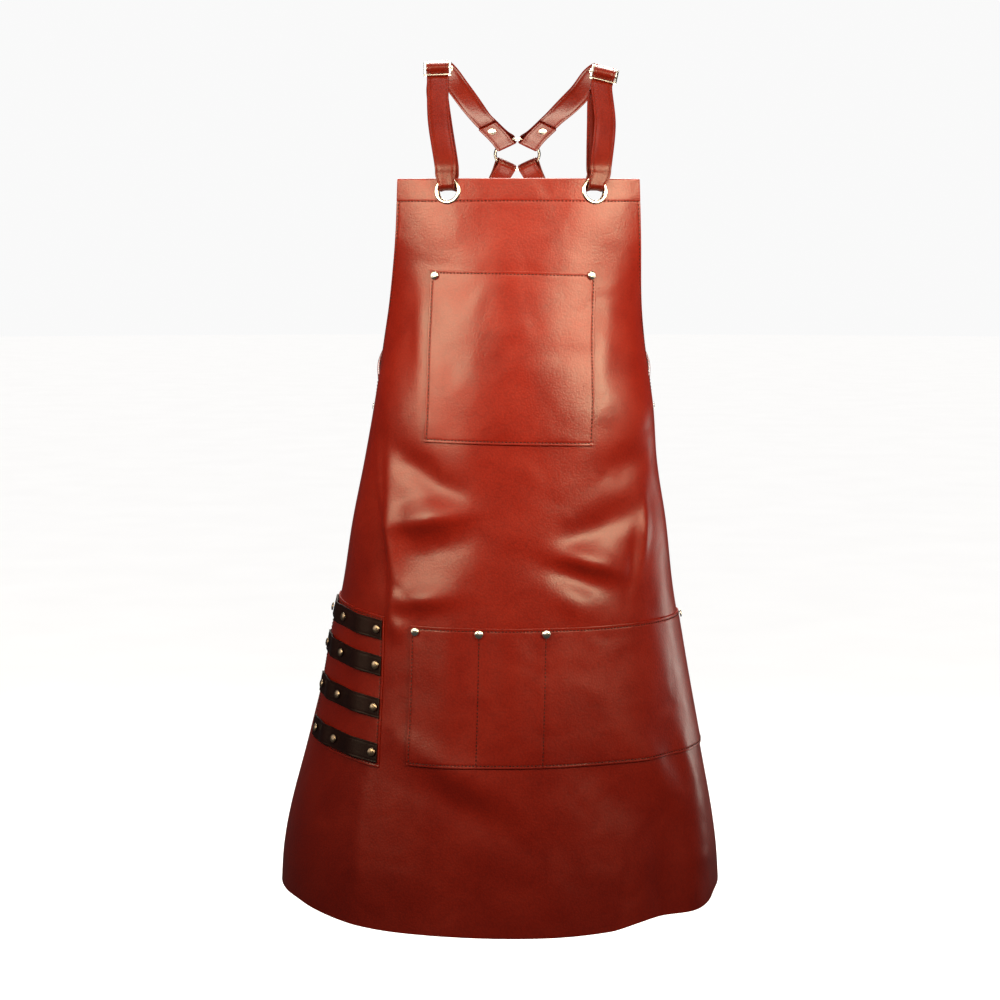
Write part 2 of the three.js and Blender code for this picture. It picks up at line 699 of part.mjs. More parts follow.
// Straps. A strap runs through stations, each a point, the direction of its width and how wide it is.
function strapGeometry(stations) {
  const position = [];
  const index = [];
  stations.forEach((station, i) => {
    const before = stations[Math.max(i - 1, 0)].point;
    const after = stations[Math.min(i + 1, stations.length - 1)].point;
    const run = after.clone().sub(before).normalize();
    const wide = station.wide.clone().addScaledVector(run, -station.wide.dot(run)).normalize();
    const face = new V3().crossVectors(wide, run);
    for (const [across, up] of [[-1, 1], [1, 1], [1, -1], [-1, -1]]) {
      const corner = station.point
        .clone()
        .addScaledVector(wide, (across * station.width) / 2)
        .addScaledVector(face, (up * STRAP_HIDE) / 2);
      position.push(...corner.toArray());
    }
  });
  for (let i = 0; i < stations.length - 1; i++) {
    for (let j = 0; j < 4; j++) {
      const k = (j + 1) % 4;
      const [a, b, c, d] = [4 * i + j, 4 * i + k, 4 * i + 4 + k, 4 * i + 4 + j];
      index.push(a, b, c, a, c, d);
    }
  }
  const end = 4 * (stations.length - 1);
  index.push(0, 2, 1, 0, 3, 2, end, end + 1, end + 2, end, end + 2, end + 3);
  const geometry = new THREE.BufferGeometry();
  geometry.setAttribute("position", new THREE.Float32BufferAttribute(position, 3));
  geometry.setIndex(index);
  return geometry;
}

// Stations between keys on a smooth curve. A key's steps say how many lie between it and the next key.
function throughKeys(keys) {
  const curve = new THREE.CatmullRomCurve3(keys.map((key) => key.point), false, "centripetal");
  const stations = [];
  for (let i = 0; i < keys.length - 1; i++) {
    for (let j = 0; j < keys[i].steps; j++) {
      const k = j / keys[i].steps;
      stations.push({
        point: curve.getPoint((i + k) / (keys.length - 1)),
        wide: keys[i].wide.clone().lerp(keys[i + 1].wide, k),
        width: keys[i].width * (1 - k) + keys[i + 1].width * k,
      });
    }
  }
  stations.push(keys[keys.length - 1]);
  return stations;
}

// A key at a place of a frame: along its wide, up and out directions
function frameKey(frame, { across = 0, up, out, width = STRAP_WIDTH, steps = 1 }) {
  return { point: inFrame(frame, across, up, out), wide: frame.wide.clone(), width, steps };
}

function inFrame(frame, across, up, out) {
  return frame.origin
    .clone()
    .addScaledVector(frame.wide, across)
    .addScaledVector(frame.up, up)
    .addScaledVector(frame.out, out);
}

// A shoulder's frame for its slider: wide across the strap, up along it, out from the body
function sliderFrame({ side, drop, roll }) {
  const tilt = roll * RAD;
  const lean = SLIDER_LEAN * RAD;
  const wide = new V3(Math.cos(tilt), 0, Math.sin(tilt));
  const up = new V3().crossVectors(new V3(0, -Math.cos(lean), Math.sin(lean)), wide).normalize();
  return {
    origin: new V3(SLIDER_SHIFT + side * SLIDER_HALF_SPACING, -SLIDER_REACH, -drop),
    wide,
    up,
    out: new V3().crossVectors(wide, up),
  };
}

// The ring's frame seen from behind: wide to the wearer's left, up towards the neck, out away from the body
const ringLean = RING_SLOPE * RAD;
const ringFrame = {
  origin: new V3(0, RING_DEPTH, -RING_DROP),
  wide: new V3(-1, 0, 0),
  up: new V3(0, -Math.sin(ringLean), Math.cos(ringLean)),
  out: new V3(0, Math.cos(ringLean), Math.sin(ringLean)),
};

// Clearances of a strap's middle from what it wraps. A bent strap needs a little more than the fit gap.
const BENT_GAP = 0.6;
const SLOT_GAP = 0.75;
const halfStrap = STRAP_HIDE / 2;
const layer = STRAP_HIDE + BENT_GAP;
const barCorner = Math.hypot(SLIDER_BAR_WIDTH / 2, SLIDER_PLATE / 2) + FIT_GAP + halfStrap;
const behindBar = SLIDER_PLATE / 2 + SLOT_GAP + halfStrap;
const ringSagitta = RING_RADIUS - Math.sqrt(RING_RADIUS ** 2 - (STRAP_WIDTH / 2) ** 2);
const wireClear = RING_WIRE + BENT_GAP + halfStrap + ringSagitta / 2;

// A strap's frame at the ring's wire, up along the strap away from the ring.
// upward is 1 for a shoulder strap and -1 for a waist strap.
// bend is how many degrees it leaves the ring's plane inwards.
function ringEnd(side, upward, bend) {
  const angle = RING_STRAP_ANGLE * RAD;
  const radial = ringFrame.wide
    .clone()
    .multiplyScalar(-side * Math.sin(angle))
    .addScaledVector(ringFrame.up, upward * Math.cos(angle));
  const wide = new V3().crossVectors(radial, ringFrame.out).normalize();
  const up = radial.clone().multiplyScalar(Math.cos(bend * RAD));
  up.addScaledVector(ringFrame.out, -Math.sin(bend * RAD));
  const out = new V3().crossVectors(wide, up).normalize();
  if (wide.x < 0) wide.negate();
  const origin = ringFrame.origin.clone().addScaledVector(radial, RING_RADIUS - ringSagitta / 2);
  return { origin, wide, up, out };
}

// The loop round the ring's wire: in along the outer face, round the wire and out along the inner face.
const RING_RIVET_FLAT = 7;
const RING_NECK = 5.5;
const RING_NECK_BULGE = 0.9;
const RING_TURNS = [62, 90, 135, 180, 225, 270, 298];
function ringLoopKeys(frame) {
  const apart = layer / 2;
  const legs = [
    { up: RING_TAIL, out: apart },
    { up: RING_RIVET + RING_RIVET_FLAT, out: apart },
    { up: RING_RIVET - RING_RIVET_FLAT, out: apart },
    { up: wireClear + RING_NECK, out: apart + RING_NECK_BULGE },
  ];
  const turns = RING_TURNS.map((degrees) => ({
    up: wireClear * Math.cos(degrees * RAD),
    out: wireClear * Math.sin(degrees * RAD),
  }));
  const back = legs.map(({ up, out }) => ({ up, out: -out })).reverse();
  return [...legs, ...turns, ...back].map((key) => frameKey(frame, key));
}

// The strap's way through the slider, from the slider's middle.
// pitch: along the strap, share of the bars' pitch.
// round and front: along the strap and out, shares of the loop's radius.
// behind: 1 where it lies behind the bars. layers: how many straps deep it lies there.
const SLIDER_END = [
  { pitch: -1, behind: 1, layers: 1 },
  { pitch: -0.69, behind: 1, layers: 0.86 },
  { pitch: -0.45, behind: 1, layers: 0.21 },
  { round: -1.015, front: -0.27 },
  { round: -0.75, front: 0.72 },
  { round: 0, front: 1.03 },
  { round: 0.75, front: 0.72 },
  { round: 1.015, front: -0.27 },
  { round: 0.75, behind: 1, layers: 0.18 },
  { pitch: -0.2, behind: 1, layers: 1.1 },
  { pitch: -0.66, behind: 1, layers: 1.85 },
  { pitch: -1.1, behind: 1, layers: 2 },
];
const SLIDER_RETURN = [
  { pitch: -1.64, behind: 1, layers: 0.04 },
  { pitch: -0.92, behind: 1, layers: -0.04 },
  { pitch: -0.75, behind: 1, layers: -0.43 },
  { round: -0.96, front: 0.1 },
  { round: -0.7, front: 0.74 },
  { round: 0, front: 1.025 },
  { round: 0.7, front: 0.74 },
  { round: 0.96, front: 0.1 },
  { pitch: 0.75, behind: 1, layers: -0.43 },
  { pitch: 0.92, behind: 1, layers: -0.04 },
  { pitch: 1.53, behind: 1, layers: 0.04, steps: 2 },
];
function sliderKeys(frame, rows, radius) {
  return rows.map(({ pitch = 0, round = 0, front = 0, behind = 0, layers = 0, steps }) => {
    const up = SLIDER_BAR_PITCH * pitch + radius * round;
    return frameKey(frame, { up, out: radius * front - behindBar * behind - layer * layers, steps });
  });
}

// The strap's way up from a grommet's hole, on either face of the hem.
// rise: share of the flange's radius. off: off the flange, share of the strap's thickness.
// spread: from 0 where it is gathered in the hole to 1 at full width.
const HOLE_WAY = [
  { rise: 0, off: -1, spread: 0 },
  { rise: 0.17, off: 0.18, spread: 0 },
  { rise: 0.54, off: 0.14, spread: 0.3 },
  { rise: 1.07, off: 0.23, spread: 0.89 },
  { rise: 1.6, off: 0.36, spread: 1 },
];
function holeKeys(side, way) {
  const { point, normal } = grommetSeat(side);
  const wide = new V3(-normal.y, normal.x, 0).normalize();
  const hung = { origin: point, wide, up: new V3().crossVectors(normal, wide), out: normal };
  const chord = GROMMET_HOLE_RADIUS * Math.cos(Math.PI / GROMMET_SIDES);
  const room = Math.sqrt(chord ** 2 - (HOLE_STRAP_RISE + halfStrap) ** 2) - FIT_GAP;
  const gathered = Math.min(2 * room, STRAP_WIDTH);
  const face = hemStack / 2 + GROMMET_STAND + GROMMET_FLANGE + FIT_GAP + halfStrap;
  return HOLE_WAY.map(({ rise, off, spread }) =>
    frameKey(hung, {
      up: HOLE_STRAP_RISE + GROMMET_FLANGE_RADIUS * rise,
      out: way * (face + STRAP_HIDE * off) - hemStack / 2,
      width: gathered + (STRAP_WIDTH - gathered) * spread,
    }),
  );
}

// Keys of one shoulder strap from its end behind the slider down to the bib and up again.
const LEG_MIDDLE = 0.55;
function shoulderStrapKeys(shoulder) {
  const slider = sliderFrame(shoulder);
  const tail = { up: -SLIDER_TAIL, out: -behindBar - layer };
  const inner = [frameKey(slider, tail), ...sliderKeys(slider, SLIDER_END, barCorner)];
  const outer = sliderKeys(slider, SLIDER_RETURN, barCorner + layer);
  const down = holeKeys(shoulder.side, -1).reverse();
  const up = holeKeys(shoulder.side, 1);
  const aside = -shoulder.side * shoulder.shift;
  const backHigh = frameKey(slider, {
    across: aside / 2,
    up: -SLIDER_TAIL - SLIDER_BAR_WIDTH,
    out: -behindBar - layer * 2,
  });
  down[0].point.addScaledVector(slider.wide, aside / 3);
  const between = (low, high, across) => ({
    point: low.point.clone().lerp(high.point, LEG_MIDDLE).addScaledVector(slider.wide, across),
    wide: low.wide.clone().lerp(high.wide, LEG_MIDDLE),
    width: STRAP_WIDTH,
    steps: 2,
  });
  const backMiddle = between(down[0], backHigh, aside / 3);
  const frontMiddle = between(up[up.length - 1], outer[0], shoulder.side * shoulder.bow);
  return { slider, keys: [...inner, backHigh, backMiddle, ...down, ...up, frontMiddle, ...outer] };
}

// The strap from the slider over the shoulder to the ring, in millimetres.
// inset: 1 where the shoulder's own inset counts, and inward is added to it.
// cross: from 0 where it lies level as at the slider to 1 where it is turned to the ring.
const OVER_SHOULDER = [
  { inset: 0, inward: 1, back: 2, below: 0, cross: 0.15 },
  { inset: 1, inward: 0, back: 18, below: 8, cross: 0.4 },
  { inset: 1, inward: 15, back: 38, below: 27, cross: 1 },
];
const CROSSING = 41;
const RING_LEAD = 10;
function overShoulderKeys(shoulder, slider, end) {
  const { side } = shoulder;
  const crossing = new V3(Math.cos(CROSSING * RAD), 0, -side * Math.sin(CROSSING * RAD));
  const laid = OVER_SHOULDER.map(({ inset, inward, back, below, cross }) => ({
    point: new V3(
      slider.origin.x - side * (shoulder.inset * inset + inward),
      back,
      shoulder.crest - below,
    ),
    wide: slider.wide.clone().lerp(crossing, cross),
    width: STRAP_WIDTH,
    steps: 2,
  }));
  return [...laid, frameKey(end, { up: RING_TAIL + RING_LEAD, out: layer / 2 })];
}

// The waist strap from the ring round the torso to its rivet behind the corner of the hide
function waistStrapKeys(side) {
  const at = WAIST_DROP / APRON_LENGTH;
  const inside = -HIDE - PATCH_GAP - halfStrap - WAIST_STRAP_SLACK;
  const rise = Math.tan(WAIST_STRAP_RISE * RAD);
  const seats = WAIST_END.map((share) => {
    const along = WAIST_RIVET_INSET * share;
    const seat = seatAt(side * (edgeArc(at) - WAIST_RIVET_INSET + along), WAIST_DROP - along * rise);
    return {
      point: seat.point.clone().addScaledVector(seat.normal, inside),
      out: seat.normal,
      steps: 1,
    };
  });
  const torso = WAIST_PATH.map(({ round, share, steps }) => {
    const angle = round * RAD;
    const half = TORSO_HALF_WIDTH * (1 - TORSO_TAPER * (1 - share));
    return {
      point: new V3(
        sectionAt(at).lean * share + side * half * Math.sin(angle),
        TORSO_BACK * Math.cos(angle),
        -RING_DROP - (BIB_DROP + WAIST_DROP - RING_DROP) * share,
      ),
      out: new V3((side * Math.sin(angle)) / half, Math.cos(angle) / TORSO_BACK, 0).normalize(),
      steps,
    };
  });
  const laid = [...torso, ...seats];
  return laid.map((key, i) => {
    const before = laid[Math.max(i - 1, 0)].point;
    const after = laid[Math.min(i + 1, laid.length - 1)].point;
    const run = after.clone().sub(before);
    const wide = new V3().crossVectors(run, key.out).normalize();
    return { point: key.point, wide, width: STRAP_WIDTH, steps: key.steps };
  });
}

function addSlider(name, frame, side) {
  const halfWide = STRAP_WIDTH / 2 + FIT_GAP + SLIDER_SIDE;
  const halfTall = SLIDER_BAR_PITCH + SLIDER_BAR_WIDTH / 2;
  const corner = SLIDER_SIDE;
  const outline = new THREE.Shape();
  const corners = [
    { x: 1, y: -1, from: -90 },
    { x: 1, y: 1, from: 0 },
    { x: -1, y: 1, from: 90 },
    { x: -1, y: -1, from: 180 },
  ];
  for (const { x, y, from } of corners) {
    const centre = { x: x * (halfWide - corner), y: y * (halfTall - corner) };
    outline.absarc(centre.x, centre.y, corner, from * RAD, (from + 90) * RAD, false);
  }
  const slotHalf = halfWide - SLIDER_SIDE;
  const slotTall = SLIDER_BAR_PITCH - SLIDER_BAR_WIDTH;
  for (const way of [-1, 1]) {
    const middle = (way * SLIDER_BAR_PITCH) / 2;
    const slot = new THREE.Path();
    slot.moveTo(-slotHalf, middle - slotTall / 2);
    slot.lineTo(-slotHalf, middle + slotTall / 2);
    slot.lineTo(slotHalf, middle + slotTall / 2);
    slot.lineTo(slotHalf, middle - slotTall / 2);
    slot.closePath();
    outline.holes.push(slot);
  }
  const options = { depth: SLIDER_PLATE, bevelEnabled: false, curveSegments: 3 };
  const plate = new THREE.ExtrudeGeometry(outline, options).translate(0, 0, -SLIDER_PLATE / 2);
  const rod = SLIDER_KNOB_LENGTH + SLIDER_SIDE / 2;
  const knob = new THREE.CylinderGeometry(SLIDER_KNOB_RADIUS, SLIDER_KNOB_RADIUS, rod, RIVET_SIDES)
    .rotateZ(90 * RAD)
    .translate(-side * (halfWide + SLIDER_KNOB_LENGTH - rod / 2), 0, 0);
  const basis = new THREE.Matrix4().makeBasis(frame.wide, frame.up, frame.out).setPosition(frame.origin);
  addPiece(name, fromSolid(toSolid(plate).add(toSolid(knob))).applyMatrix4(basis), nickel);
}

// A rivet through the two legs of a strap's loop at the ring, its cap outside
const ringStack = layer + STRAP_HIDE;
const RING_RIVET_SCALE = 1.15;
function ringRivetSeat(end) {
  return { point: inFrame(end, 0, RING_RIVET, ringStack / 2), normal: end.out };
}

function addRingRivet(name, { point, normal }) {
  addRivet(name, point, normal, ringStack, nickel, RING_RIVET_SCALE);
}

function addStrap(name, keys, seats) {
  const holes = seats.map(({ point, normal }) => rivetHole(point, normal));
  addPiece(name, pierced(strapGeometry(throughKeys(keys)), holes), strapLeather);
}

for (const shoulder of SHOULDERS) {
  const { name, side } = shoulder;
  const { slider, keys } = shoulderStrapKeys(shoulder);
  addSlider(`slider_${name}`, slider, side);
  addGrommet(`grommet_${name}`, side);

  const upper = ringEnd(side, 1, 0);
  const upperRivet = ringRivetSeat(upper);
  const shoulderRun = [...keys, ...overShoulderKeys(shoulder, slider, upper), ...ringLoopKeys(upper)];
  addStrap(`shoulder_strap_${name}`, shoulderRun, [upperRivet]);
  addRingRivet(`ring_rivet_upper_${name}`, upperRivet);

  const lower = ringEnd(side, -1, WAIST_STRAP_BEND);
  const lowerRivet = ringRivetSeat(lower);
  const corner = waistSeat(side);
  const waistRun = [...ringLoopKeys(lower).reverse(), ...waistStrapKeys(side)];
  addStrap(`waist_strap_${name}`, waistRun, [lowerRivet, corner]);
  addRingRivet(`ring_rivet_lower_${name}`, lowerRivet);
  const cornerStack = HIDE + PATCH_GAP + WAIST_STRAP_SLACK + STRAP_HIDE;
  addRivet(`waist_rivet_${name}`, corner.point, corner.normal, cornerStack + FIT_GAP, nickel);
}

const ringBasis = new THREE.Matrix4().makeBasis(ringFrame.wide, ringFrame.up, ringFrame.out);
ringBasis.setPosition(ringFrame.origin);
const ring = new THREE.TorusGeometry(RING_RADIUS, RING_WIRE, 7, 28);
addPiece("back_ring", ring.applyMatrix4(ringBasis), nickel);

export default apron;
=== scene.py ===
"""Leather cross-back apron in its worn form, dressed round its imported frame.

Lengths are millimetres in the frame of the part until a mesh is made, where they turn to metres:
+X to the right seen from the front, -Y to the front, +Z up, with the origin between the shoulders.
"""

import json
import logging
import math
from dataclasses import dataclass, field
from enum import Enum
from typing import Iterable, Sequence

import bpy
import numpy as np
from mathutils import Matrix, Vector

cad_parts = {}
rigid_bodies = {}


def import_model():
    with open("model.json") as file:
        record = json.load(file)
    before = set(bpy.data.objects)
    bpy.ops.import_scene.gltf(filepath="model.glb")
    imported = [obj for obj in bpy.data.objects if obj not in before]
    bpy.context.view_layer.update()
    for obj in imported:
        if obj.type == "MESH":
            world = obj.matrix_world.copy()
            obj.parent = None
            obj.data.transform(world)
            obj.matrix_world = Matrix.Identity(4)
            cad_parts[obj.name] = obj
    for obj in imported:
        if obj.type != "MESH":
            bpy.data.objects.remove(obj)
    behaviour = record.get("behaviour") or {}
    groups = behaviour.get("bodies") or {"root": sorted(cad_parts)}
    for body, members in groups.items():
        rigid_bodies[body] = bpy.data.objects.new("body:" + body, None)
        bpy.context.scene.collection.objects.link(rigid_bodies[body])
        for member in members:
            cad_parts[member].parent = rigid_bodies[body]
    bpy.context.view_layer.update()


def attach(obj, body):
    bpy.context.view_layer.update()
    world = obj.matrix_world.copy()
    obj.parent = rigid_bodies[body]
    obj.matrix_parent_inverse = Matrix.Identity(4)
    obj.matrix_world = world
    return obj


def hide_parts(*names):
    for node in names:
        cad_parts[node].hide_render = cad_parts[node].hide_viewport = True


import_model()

LOG = logging.getLogger("apron")
MM = 0.001
BODY = "root"
GRAIN_SIDE, FLESH_SIDE, CUT_EDGE = 0, 1, 2


class Slot(Enum):
    """Material slots of the record, by name; a rivet's slot picks whether it is nickel or brass."""

    HIDE = "hide_leather"
    STRAP = "strap_leather"
    LOOP = "loop_leather"
    NICKEL = "nickel"
    BRASS = "antique_brass"


class Side(Enum):
    """The two sides of the apron as seen from the front."""

    LEFT = -1
    RIGHT = 1

    @property
    def label(self) -> str:
        """The side's word in the names of the pieces."""
        return self.name.lower()


@dataclass(frozen=True)
class Section:
    """One cross section of the hide.

    at is a share of the apron's length. spread and reach run from 0 as at the bib's top to 1 as at
    the hem. sag is a share of the wrap depth, turn is in degrees to each side, and lean is a share
    of the hem's lean.
    """

    at: float
    spread: float
    reach: float
    sag: float
    turn: float
    lean: float


@dataclass(frozen=True)
class HemPoint:
    """The hem's rise at a share of the way round from the centre line."""

    at: float
    rise: float


@dataclass(frozen=True)
class Fold:
    """One fold or dent of the hide.

    across is a share of the hem's half width and at a share of the length. run and wide are its
    half length and half width as shares of the length. slant leans its run towards +X, in degrees,
    and lift is a share of the fold depth. keen makes one side of it steeper: the right or upper
    one where it is positive, the left or lower one where it is negative.
    """

    across: float
    at: float
    run: float
    wide: float
    slant: float
    lift: float
    keen: float = 0


@dataclass(frozen=True)
class Shoulder:
    """How one shoulder's strap hangs, in millimetres and degrees."""

    side: Side
    drop: float
    roll: float
    inset: float
    crest: float
    bow: float
    shift: float
    sway: float


@dataclass(frozen=True)
class Way:
    """One place of a strap's way through the slider, as shares of the named sizes."""

    pitch: float = 0
    round: float = 0
    front: float = 0
    behind: float = 0
    layers: float = 0


@dataclass(frozen=True)
class HoleWay:
    """One place of a strap's way up from a grommet, as shares of the named sizes."""

    rise: float
    off: float
    spread: float


@dataclass(frozen=True)
class OverShoulder:
    """One place of a strap's way over the shoulder."""

    inset: float
    inward: float
    back: float
    below: float
    cross: float


@dataclass(frozen=True)
class WaistPlace:
    """Where a waist strap lies on the torso: degrees round and share of the way down."""

    round: float
    share: float


SECTIONS = (
    Section(0, 0, 0, 0.16, 38, 0),
    Section(0.08, 0.02, 0.1, 0.22, 48, 0.02),
    Section(0.162, 0.056, 0.2, 0.34, 64, 0.15),
    Section(0.216, 0.1, 0.27, 0.41, 78, 0.22),
    Section(0.305, 0.187, 0.37, 0.5, 97, 0.25),
    Section(0.383, 0.258, 0.43, 0.58, 98, 0.41),
    Section(0.468, 0.364, 0.5, 0.67, 98, 0.49),
    Section(0.555, 0.448, 0.58, 0.78, 98, 0.57),
    Section(0.615, 0.53, 0.63, 0.87, 98, 0.64),
    Section(0.7, 0.641, 0.71, 0.93, 98, 0.71),
    Section(0.787, 0.771, 0.79, 0.96, 97, 0.82),
    Section(0.873, 0.904, 0.87, 0.98, 96, 0.95),
    Section(0.93, 0.965, 0.93, 0.99, 95, 1),
    Section(1, 0.996, 1, 1, 93, 1),
)

HEM_LINE = (
    HemPoint(-1, 1.3),
    HemPoint(-0.84, 1.02),
    HemPoint(-0.75, 0.91),
    HemPoint(-0.66, 0.62),
    HemPoint(-0.51, 0.25),
    HemPoint(-0.35, 0.03),
    HemPoint(0, -0.16),
    HemPoint(0.35, -0.04),
    HemPoint(0.46, 0.31),
    HemPoint(0.54, 0.42),
    HemPoint(0.69, 0.3),
    HemPoint(0.78, 0.55),
    HemPoint(0.84, 1.02),
    HemPoint(1, 1.4),
)

# The large folds that the solids have too, and below them the small ones that only show here
FOLDS = (
    Fold(-0.54, 0.48, 0.089, 0.017, 5, 0.5, -1.6),
    Fold(-0.38, 0.394, 0.064, 0.02, 58, -0.6),
    Fold(-0.36, 0.453, 0.055, 0.021, 100, 0.8, -0.5),
    Fold(-0.33, 0.495, 0.05, 0.024, 109, -0.6),
    Fold(-0.38, 0.56, 0.045, 0.019, 97, 0.7, -0.5),
    Fold(0.5, 0.386, 0.036, 0.022, 114, -0.45),
    Fold(0.42, 0.461, 0.069, 0.022, 109, -0.6),
    Fold(0.35, 0.51, 0.05, 0.02, 73, 0.8, -0.6),
    Fold(0.31, 0.533, 0.06, 0.018, 70, -0.5),
    Fold(0.29, 0.562, 0.041, 0.02, 60, 0.4),
    Fold(0.63, 0.459, 0.035, 0.017, -2, 0.4, 1.2),
    Fold(0.98, 0.89, 0.16, 0.04, 0, 0.5),
    Fold(0.78, 0.94, 0.12, 0.035, 0, -0.7),
    Fold(-0.1, 0.95, 0.1, 0.08, 0, -0.4),
    Fold(-0.6, 0.96, 0.13, 0.07, 0, 0.4),
    Fold(-0.57, 0.46, 0.07, 0.008, 15, 0.2, -1),
    Fold(-0.53, 0.578, 0.03, 0.007, -11, 0.2, -1),
    Fold(-0.485, 0.548, 0.016, 0.006, 62, -0.14),
    Fold(-0.5, 0.592, 0.02, 0.008, 40, 0.12),
    Fold(0.2, 0.505, 0.03, 0.004, 95, 0.05),
    Fold(0.575, 0.5, 0.06, 0.009, -10, -0.2),
    Fold(0.645, 0.475, 0.04, 0.008, -8, 0.14),
    Fold(-0.43, 0.22, 0.07, 0.013, 3, 0.15),
    Fold(0.42, 0.215, 0.075, 0.013, -3, 0.05),
    Fold(-0.36, 0.125, 0.03, 0.03, 50, -0.16),
    Fold(0.37, 0.115, 0.035, 0.03, -50, -0.16),
    Fold(-0.05, 0.1, 0.05, 0.03, 10, 0.1),
    Fold(0.25, 0.235, 0.03, 0.012, 90, -0.09),
    Fold(0.33, 0.36, 0.03, 0.03, 60, 0.2),
    Fold(-0.2, 0.37, 0.035, 0.03, 100, 0.16),
    Fold(-0.22, 0.785, 0.075, 0.024, 62, 0.5),
    Fold(-0.12, 0.84, 0.08, 0.026, 60, -0.5),
    Fold(0.7, 0.79, 0.075, 0.022, 42, 0.5),
    Fold(0.55, 0.835, 0.08, 0.028, 48, -0.45),
    Fold(0.9, 0.79, 0.05, 0.016, 20, 0.3),
    Fold(-0.63, 0.87, 0.11, 0.014, -3, 0.24),
    Fold(0.2, 0.93, 0.06, 0.03, 20, 0.2),
    Fold(-0.5, 0.6, 0.014, 0.014, 20, 0.28),
)


def column(rows: Sequence[object], name: str, at: np.ndarray) -> np.ndarray:
    """Read a table's column on a smooth curve through its rows.

    Args:
        rows: The table, in the order of its at values.
        name: The column's name.
        at: Where to read it.

    Returns:
        The column's values, in the shape of at.
    """
    xs = np.array([row.at for row in rows], dtype=float)
    ys = np.array([getattr(row, name) for row in rows], dtype=float)
    last = len(rows) - 1
    i = np.clip(np.searchsorted(xs, at, side="right") - 1, 0, last - 1)
    before = np.maximum(i - 1, 0)
    after = np.minimum(i + 2, last)
    span = xs[i + 1] - xs[i]
    k = np.clip((at - xs[i]) / span, 0, 1)
    slope_a = (ys[i + 1] - ys[before]) / (xs[i + 1] - xs[before]) * span
    slope_b = (ys[after] - ys[i]) / (xs[after] - xs[i]) * span
    k2 = k * k
    k3 = k2 * k
    return (
        (2 * k3 - 3 * k2 + 1) * ys[i]
        + (k3 - 2 * k2 + k) * slope_a
        + (3 * k2 - 2 * k3) * ys[i + 1]
        + (k3 - k2) * slope_b
    )


def unit(vectors: np.ndarray) -> np.ndarray:
    """Scale vectors along the last axis to a length of one."""
    return vectors / np.linalg.norm(vectors, axis=-1, keepdims=True)


EDGE_STEPS = (0.0, 0.9, 1.8)
SEAM_STEPS = (-1.0, -0.55, -0.28, 0.0, 0.28, 0.55, 1.0)
CLOSEST = 0.15
CROWDED = 0.45


def graded(length: float, marks: Iterable[float], pitch: float, margin: float = 2.4) -> np.ndarray:
    """Place grid lines along a length, close together round each mark and both ends.

    Args:
        length: The length to divide.
        marks: Where a seam runs.
        pitch: The spacing elsewhere.
        margin: How far from a mark the close lines reach.

    Returns:
        The sorted places of the lines, from 0 to length.
    """
    close = [*EDGE_STEPS, *(length - step for step in reversed(EDGE_STEPS))]
    marked = [mark + step * margin for mark in marks for step in SEAM_STEPS]
    fine = [place for place in close + marked if 0 <= place <= length]
    even = np.linspace(0, length, max(2, round(length / pitch)) + 1)
    kept = [place for place in even if min(abs(place - other) for other in fine) > pitch * CROWDED]
    places = np.array(sorted(fine + kept))
    return places[np.concatenate(([True], np.diff(places) > CLOSEST))]


